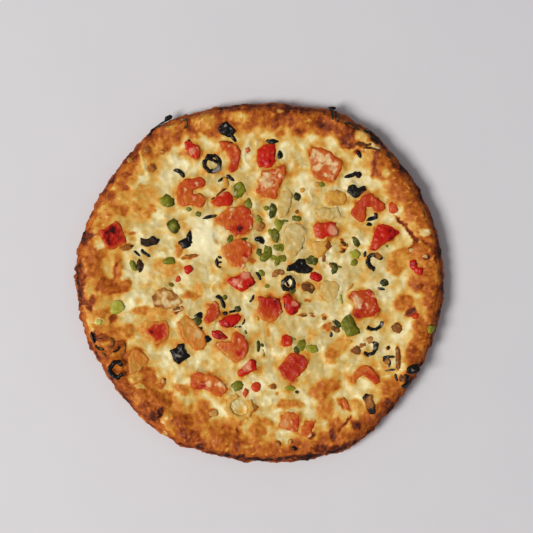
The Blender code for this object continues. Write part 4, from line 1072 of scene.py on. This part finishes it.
def rounded_solid(name):
    """A cut piece's solid as an even mesh with softened edges, its points, and its normals."""
    source = bpy.data.objects.new(name + "_source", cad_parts[name].data.copy())
    bpy.context.scene.collection.objects.link(source)
    remesh = source.modifiers.new("even", "REMESH")
    remesh.mode = "VOXEL"
    remesh.voxel_size = REMESH_SIZE * MM
    smooth = source.modifiers.new("round", "SMOOTH")
    smooth.iterations = 5
    smooth.factor = 0.5
    graph = bpy.context.evaluated_depsgraph_get()
    mesh = bpy.data.meshes.new_from_object(source.evaluated_get(graph))
    bpy.data.objects.remove(source)
    mesh.name = name + "_look"
    mesh.materials.clear()
    points = np.empty(len(mesh.vertices) * 3)
    normals = np.empty(len(mesh.vertices) * 3)
    mesh.vertices.foreach_get("co", points)
    mesh.vertices.foreach_get("normal", normals)
    points = points.reshape(-1, 3)
    tree = tree_of(name)
    solid = np.array([tree.find_nearest(Vector(point))[0] for point in points.tolist()])
    return mesh, (points + KEEP_FORM * (solid - points)) / MM, normals.reshape(-1, 3)


def make_topping(name, material, dome):
    """A cut piece: its solid rounded off, warped and roughened, with its tones kept on it."""
    seed = sum(map(ord, name)) * 7
    mesh, points, normals = rounded_solid(name)
    x, y = points[:, 0], points[:, 1]
    middle = (points.min(0) + points.max(0)) / 2
    half = (points.max(0) - points.min(0)) / 2
    tone, at_edge, across, towards, cover, outline_cover = LOOKS[name]
    deep = inside_piece.at(x, y)
    edge = blend(*OUTLINE_TONE, deep)
    towards = math.radians(towards)
    side = (x - middle[0]) / half[0] * math.cos(towards)
    side += (y - middle[1]) / half[1] * math.sin(towards)
    tones = tone + at_edge * edge + across * side + uneven("piece tone", points, seed)

    # The cheese over it is a net, whose threads widen with how much it covers; on red peppers and
    # olives the net is partly painted highlight
    veil = cover * (1 - edge) + outline_cover * edge
    netting = uneven("netting", points, seed)
    veil = np.where(veil > 0, blend(0.4, -0.4, netting - 2.2 * (veil - 0.5)), 0)
    bent = warped(x, y, 2.5, 0.7, 61)
    for mark_x, mark_y, radius, change, more in MARKS:
        near = blend(-0.35, 0.4, oval(*bent, (mark_x, mark_y, radius, radius, 0)))
        tones += change * near
        veil += more * near
    veil = np.clip(veil, 0, 1)

    # It swells unevenly, is domed or hollowed from above, and loses its straight sides
    upper = blend(0.2, 0.8, normals[:, 2])
    swell = uneven("swell", points, seed) + 0.2 * veil * upper + 0.1
    moved = points + normals * swell[:, None]
    moved[:, 2] += dome * upper * blend(0.8, 5, deep)
    for axis in (0, 1):
        moved[:, axis] += SIDEWAYS * noise(points[:, :2], 5, seed + 7 + axis)
    mesh.vertices.foreach_set("co", (moved * MM).reshape(-1))
    values = {"tone": np.clip(tones, 0, 1), "veil": veil}
    piece = finish_piece(name + "_look", mesh, material, name[: name.rindex("_")], values)
    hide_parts(name)


def chunk_body(row, seed):
    """A small chunk, an uneven squashed round: its rings from the underside up, and its two ends."""
    x, y, long, wide, turn, _ = row
    circle = plane(np.cos(AROUND), np.sin(AROUND))
    bulge = 1.05 + 0.34 * noise(circle + seed * 7, 0.9, seed) + 0.25 * noise(circle * 2, 0.9, seed)
    rings = []
    for angle in np.radians(np.linspace(-70, 70, CHUNK_ROWS)):
        out = math.cos(angle) ** 0.55 * bulge
        rings.append(np.column_stack((circle * out[:, None], np.full(BIT_ROUND, math.sin(angle)))))
    body = np.concatenate(rings + [[[0, 0, -0.96], [0, 0, 0.96]]])
    body = body * (long, wide, min(1.5, 0.5 + 0.3 * wide))
    angle = math.radians(turn)
    place_x = x + body[:, 0] * math.cos(angle) - body[:, 1] * math.sin(angle)
    place_y = y + body[:, 0] * math.sin(angle) + body[:, 1] * math.cos(angle)
    centre = ground(np.array([x * 1.0]), np.array([y * 1.0]))[0]
    height = (ground(place_x, place_y) + centre) / 2 + 0.1 + body[:, 2]
    return np.stack((place_x, place_y, height), -1)


def strip_body(row, seed):
    """A strip along a curve, with tapered ends: its rings from end to end, and its two ends."""
    half, _, *stations = row
    stations = np.array(stations, float)
    run = np.append(0, np.cumsum(np.hypot(*np.diff(stations, axis=0).T)))
    part = np.linspace(0, run[-1], max(8, int(run[-1] / STRIP_STEP)))
    path = np.column_stack([np.interp(part, run, stations[:, axis]) for axis in (0, 1)])
    for _ in range(4):
        path[1:-1] = (path[:-2] + path[1:-1] + path[2:]) / 3
    way = np.gradient(path, axis=0)
    way /= np.hypot(*way.T)[:, None]
    ends = path[[0, -1]] + way[[0, -1]] * [[-0.6 * half], [0.6 * half]]
    path[0], path[-1] = (path[0] + ends[0]) / 2, (path[-1] + ends[1]) / 2
    taper = np.sqrt(1.05 - abs(np.linspace(-1, 1, len(path))) ** (2 + run[-1] / half))
    wide = half * taper * (1 + 0.22 * noise(path, 2.2, seed))
    thick = taper * min(1.4, 0.35 + 0.55 * half)
    across = np.outer(wide, np.cos(AROUND))
    place_x = (path[:, :1] - way[:, 1:] * across).reshape(-1)
    place_y = (path[:, 1:] + way[:, :1] * across).reshape(-1)
    middle = np.repeat(ground(path[:, 0], path[:, 1]), BIT_ROUND)
    height = (ground(place_x, place_y) + middle) / 2 + 0.15
    height = height + np.outer(thick, np.sin(AROUND)).reshape(-1)
    tips = np.column_stack((ends, ground(ends[:, 0], ends[:, 1]) + 0.1))
    return np.concatenate((np.stack((place_x, place_y, height), -1), tips))


def make_bits(kind, material, slot):
    """All the small chunks and strips of one kind, sunk into the cheese."""
    bodies = [(chunk_body, row, row[5]) for row in BITS.get(kind, ())]
    bodies += [(strip_body, row, row[1]) for row in STRIPS.get(kind, ())]
    points, faces, tones, veils = [], [], [], []
    start = 0
    for number, (make_body, row, tone) in enumerate(bodies):
        seed = 700 + number * 3 + len(kind) * 500
        placed = make_body(row, seed)
        placed[:, 2] += 0.35 * noise(placed, 2, seed + 1)
        spare = len(placed) - 2
        index = start + np.arange(spare).reshape(-1, BIT_ROUND)
        after = np.roll(index, -1, 1)
        sides = np.stack((index[:-1], after[:-1], after[1:], index[1:]), -1)
        low, high = start + spare, start + spare + 1
        faces += sides.reshape(-1, 4).tolist()
        faces += [(low, b, a) for a, b in zip(index[0], after[0])]
        faces += [(high, a, b) for a, b in zip(index[-1], after[-1])]
        points.append(placed)
        tones.append(tone + 0.16 * noise(placed, 2.4, seed + 2))
        veils.append(blend(0.35, 0.8, noise(placed, 3, seed + 3)) * 0.45)
        start += len(placed)
    values = {"tone": np.clip(np.concatenate(tones), 0, 1), "veil": np.concatenate(veils)}
    add_piece(kind + "_bits", np.concatenate(points), faces, material, slot, values)


class Number:
    """A number that varies over a surface. Arithmetic with it adds the nodes that work it out."""

    def __init__(self, tree, socket):
        self.tree = tree
        self.socket = socket

    def through(self, operation, first, second, clamp=False):
        node = self.tree.nodes.new("ShaderNodeMath")
        node.operation = operation
        node.use_clamp = clamp
        for socket, value in zip(node.inputs, (first, second)):
            feed(self.tree, socket, value)
        return Number(self.tree, node.outputs[0])

    def __add__(self, other):
        return self.through("ADD", self, other)

    def __radd__(self, other):
        return self.through("ADD", other, self)

    def __sub__(self, other):
        return self.through("SUBTRACT", self, other)

    def __rsub__(self, other):
        return self.through("SUBTRACT", other, self)

    def __mul__(self, other):
        return self.through("MULTIPLY", self, other)

    def __rmul__(self, other):
        return self.through("MULTIPLY", other, self)

    def clamped(self):
        return self.through("ADD", self, 0.0, clamp=True)


def feed(tree, socket, value):
    """Links a worked-out value into a socket, or sets a plain one."""
    if isinstance(value, Number):
        tree.links.new(value.socket, socket)
    elif isinstance(value, bpy.types.NodeSocket):
        tree.links.new(value, socket)
    else:
        socket.default_value = value


def linear(tone):
    """A colour as the shader takes it, from its screen values of 0 to 255."""
    parts = [value / 255 for value in tone]
    return (*[p / 12.92 if p <= 0.04045 else ((p + 0.055) / 1.055) ** 2.4 for p in parts], 1)


class Surface:
    """One material and the nodes that make it."""

    def __init__(self, name, roughness, subsurface=0.0):
        self.material = bpy.data.materials.new(name)
        self.material.use_nodes = True
        self.tree = self.material.node_tree
        self.shader = self.tree.nodes["Principled BSDF"]
        self.shader.inputs["Roughness"].default_value = roughness
        self.shader.inputs["Specular IOR Level"].default_value = 0.18
        self.shader.inputs["Subsurface Weight"].default_value = subsurface
        self.shader.inputs["Subsurface Radius"].default_value = (1.0, 0.55, 0.25)
        self.shader.inputs["Subsurface Scale"].default_value = 1.6 * MM
        self.place = self.node("ShaderNodeTexCoord").outputs["Object"]

    def node(self, kind, settings=(), **values):
        """Adds a node: its settings first, then values or links for its sockets by name."""
        node = self.tree.nodes.new(kind)
        for title, setting in dict(settings).items():
            if title == "stops":
                set_stops(node, setting)
            else:
                setattr(node, title, setting)
        for title, value in values.items():
            feed(self.tree, node.inputs[title.replace("_", " ")], value)
        return node

    def kept(self, title):
        """A number kept on the mesh."""
        node = self.node("ShaderNodeAttribute", {"attribute_name": title})
        return Number(self.tree, node.outputs["Fac"])

    def noise(self, length, detail):
        """Noise from 0 to 1 that changes over a length in millimetres."""
        scale = 1 / (length * MM)
        node = self.node("ShaderNodeTexNoise", Vector=self.place, Scale=scale, Detail=detail)
        return Number(self.tree, node.outputs["Fac"])

    def ramp(self, value, stops):
        return self.node("ShaderNodeValToRGB", {"stops": stops}, Fac=value).outputs["Color"]

    def mix(self, share, first, second):
        """Two colours mixed, each a colour's socket or its screen values."""
        node = self.node("ShaderNodeMix", {"data_type": "RGBA"})
        colours = (linear(tone) if isinstance(tone, tuple) else tone for tone in (first, second))
        for place, value in zip(MIX_SOCKETS, (share, *colours)):
            feed(self.tree, node.inputs[place], value)
        return node.outputs[2]

    def bump(self, height, distance):
        node = self.node("ShaderNodeBump", Height=height, Distance=distance * MM, Strength=1.0)
        feed(self.tree, self.shader.inputs["Normal"], node.outputs["Normal"])

    def colour(self, colour):
        feed(self.tree, self.shader.inputs["Base Color"], colour)

    def roughness(self, value):
        feed(self.tree, self.shader.inputs["Roughness"], value)


def set_stops(node, stops):
    """Puts a colour ramp's colours at their places."""
    elements = node.color_ramp.elements
    while len(elements) > 1:
        elements.remove(elements[-1])
    elements[0].position, elements[0].color = stops[0][0], linear(stops[0][1])
    for position, tone in stops[1:]:
        elements.new(position).color = linear(tone)


def cheese_material():
    surface = Surface("melted_cheese", 0.4, 0.12)
    fine = surface.noise(1.1, 4)
    broad = surface.noise(3.2, 3)
    bake = surface.kept("bake") + (fine - 0.5) * 0.18 + (broad - 0.5) * 0.28
    # The tint of juices' stain and painted shade, broken up by noise
    stain = surface.kept("stain") * (0.28 + broad * 0.55)
    fresh = surface.kept("fresh") * (0.55 + fine * 0.5)
    colour = surface.ramp(bake.clamped(), BAKE_TONES)
    colour = surface.mix(stain.clamped(), colour, JUICE_STAIN_AND_SHADE)
    surface.colour(surface.mix(fresh.clamped(), colour, FRESH_CHEESE))
    surface.roughness(0.26 + fine * 0.2 + surface.kept("bake") * 0.3)
    surface.bump(fine * 0.45 + broad * 0.55, 0.26)
    return surface.material


def crust_material():
    surface = Surface("baked_crust", 0.6)
    fine = surface.noise(0.9, 4)
    broad = surface.noise(4.0, 4)
    bake = surface.kept("bake") + (fine - 0.5) * 0.32 + (broad - 0.5) * 0.35
    surface.colour(surface.ramp(bake.clamped(), BAKE_TONES))
    surface.roughness(0.45 + fine * 0.3)
    surface.bump(fine * 0.6 + broad * 0.5, 0.5)
    return surface.material


def vegetable_material(kind):
    stops, cheese, roughness, _ = KINDS[kind]
    surface = Surface("cooked_" + kind, roughness, 0.06)
    fine = surface.noise(0.8, 4)
    broad = surface.noise(2.8, 3)
    tone = surface.kept("tone") + (fine - 0.5) * 0.2 + (broad - 0.5) * 0.26
    colour = surface.ramp(tone.clamped(), stops)
    # The veil mixes in cheese, on red peppers and olives also a painted highlight
    veil = surface.kept("veil") * (0.4 + broad * 0.8)
    surface.colour(surface.mix(veil.clamped(), colour, cheese))
    surface.roughness(roughness - 0.08 + fine * 0.2)
    surface.bump(fine * 0.5 + broad * 0.5, 0.35)
    return surface.material


def floor_material():
    surface = Surface("pale_floor", 0.8)
    surface.colour(surface.mix(surface.noise(60, 2), *FLOOR_TONES))
    return surface.material


def make_floor():
    """A wide pale floor."""
    corners = [(x * FLOOR_HALF, y * FLOOR_HALF, 0) for x, y in ((-1, -1), (1, -1), (1, 1), (-1, 1))]
    mesh = bpy.data.meshes.new("floor")
    mesh.from_pydata(corners, [], [(0, 1, 2, 3)])
    mesh.materials.append(floor_material())
    floor = bpy.data.objects.new("floor", mesh)
    bpy.context.scene.collection.objects.link(floor)


def make_camera():
    """A camera straight above that takes in the whole pizza a little off its middle."""
    data = bpy.data.cameras.new("camera")
    data.sensor_width = SENSOR_WIDTH
    data.lens = SENSOR_WIDTH * (CAMERA_HEIGHT - FOCUS_HEIGHT * MM) / (FRAME_WIDTH * MM)
    camera = bpy.data.objects.new("camera", data)
    camera.location = (CAMERA_PLACE[0] * MM, CAMERA_PLACE[1] * MM, CAMERA_HEIGHT)
    bpy.context.scene.collection.objects.link(camera)
    bpy.context.scene.camera = camera


def make_light():
    """A wide soft lamp from the near left and a pale surrounding."""
    data = bpy.data.lights.new("window", "AREA")
    data.shape = "RECTANGLE"
    data.size = LAMP_SIZE
    data.size_y = LAMP_SIZE
    data.energy = LAMP_POWER
    data.color = LAMP_COLOUR
    lamp = bpy.data.objects.new("window", data)
    lamp.location = LAMP_PLACE
    lamp.rotation_mode = "QUATERNION"
    lamp.rotation_quaternion = (-lamp.location).to_track_quat("-Z", "Y")
    bpy.context.scene.collection.objects.link(lamp)
    world = bpy.data.worlds.new("surrounding")
    world.use_nodes = True
    background = world.node_tree.nodes["Background"]
    background.inputs["Color"].default_value = (1.0, 1.0, 1.02, 1)
    background.inputs["Strength"].default_value = SURROUNDING_LIGHT
    bpy.context.scene.world = world
    bpy.context.scene.view_settings.view_transform = "Standard"


make_floor()
make_crust(crust_material())
make_cheese(cheese_material())
materials = {kind: vegetable_material(kind) for kind in KINDS}
for topping in TOPPINGS:
    kind = topping[: topping.rindex("_")]
    make_topping(topping, materials[kind], KINDS[kind][3])
for kind, slot in BIT_SLOTS.items():
    make_bits(kind, materials[slot], slot)
make_camera()
make_light()
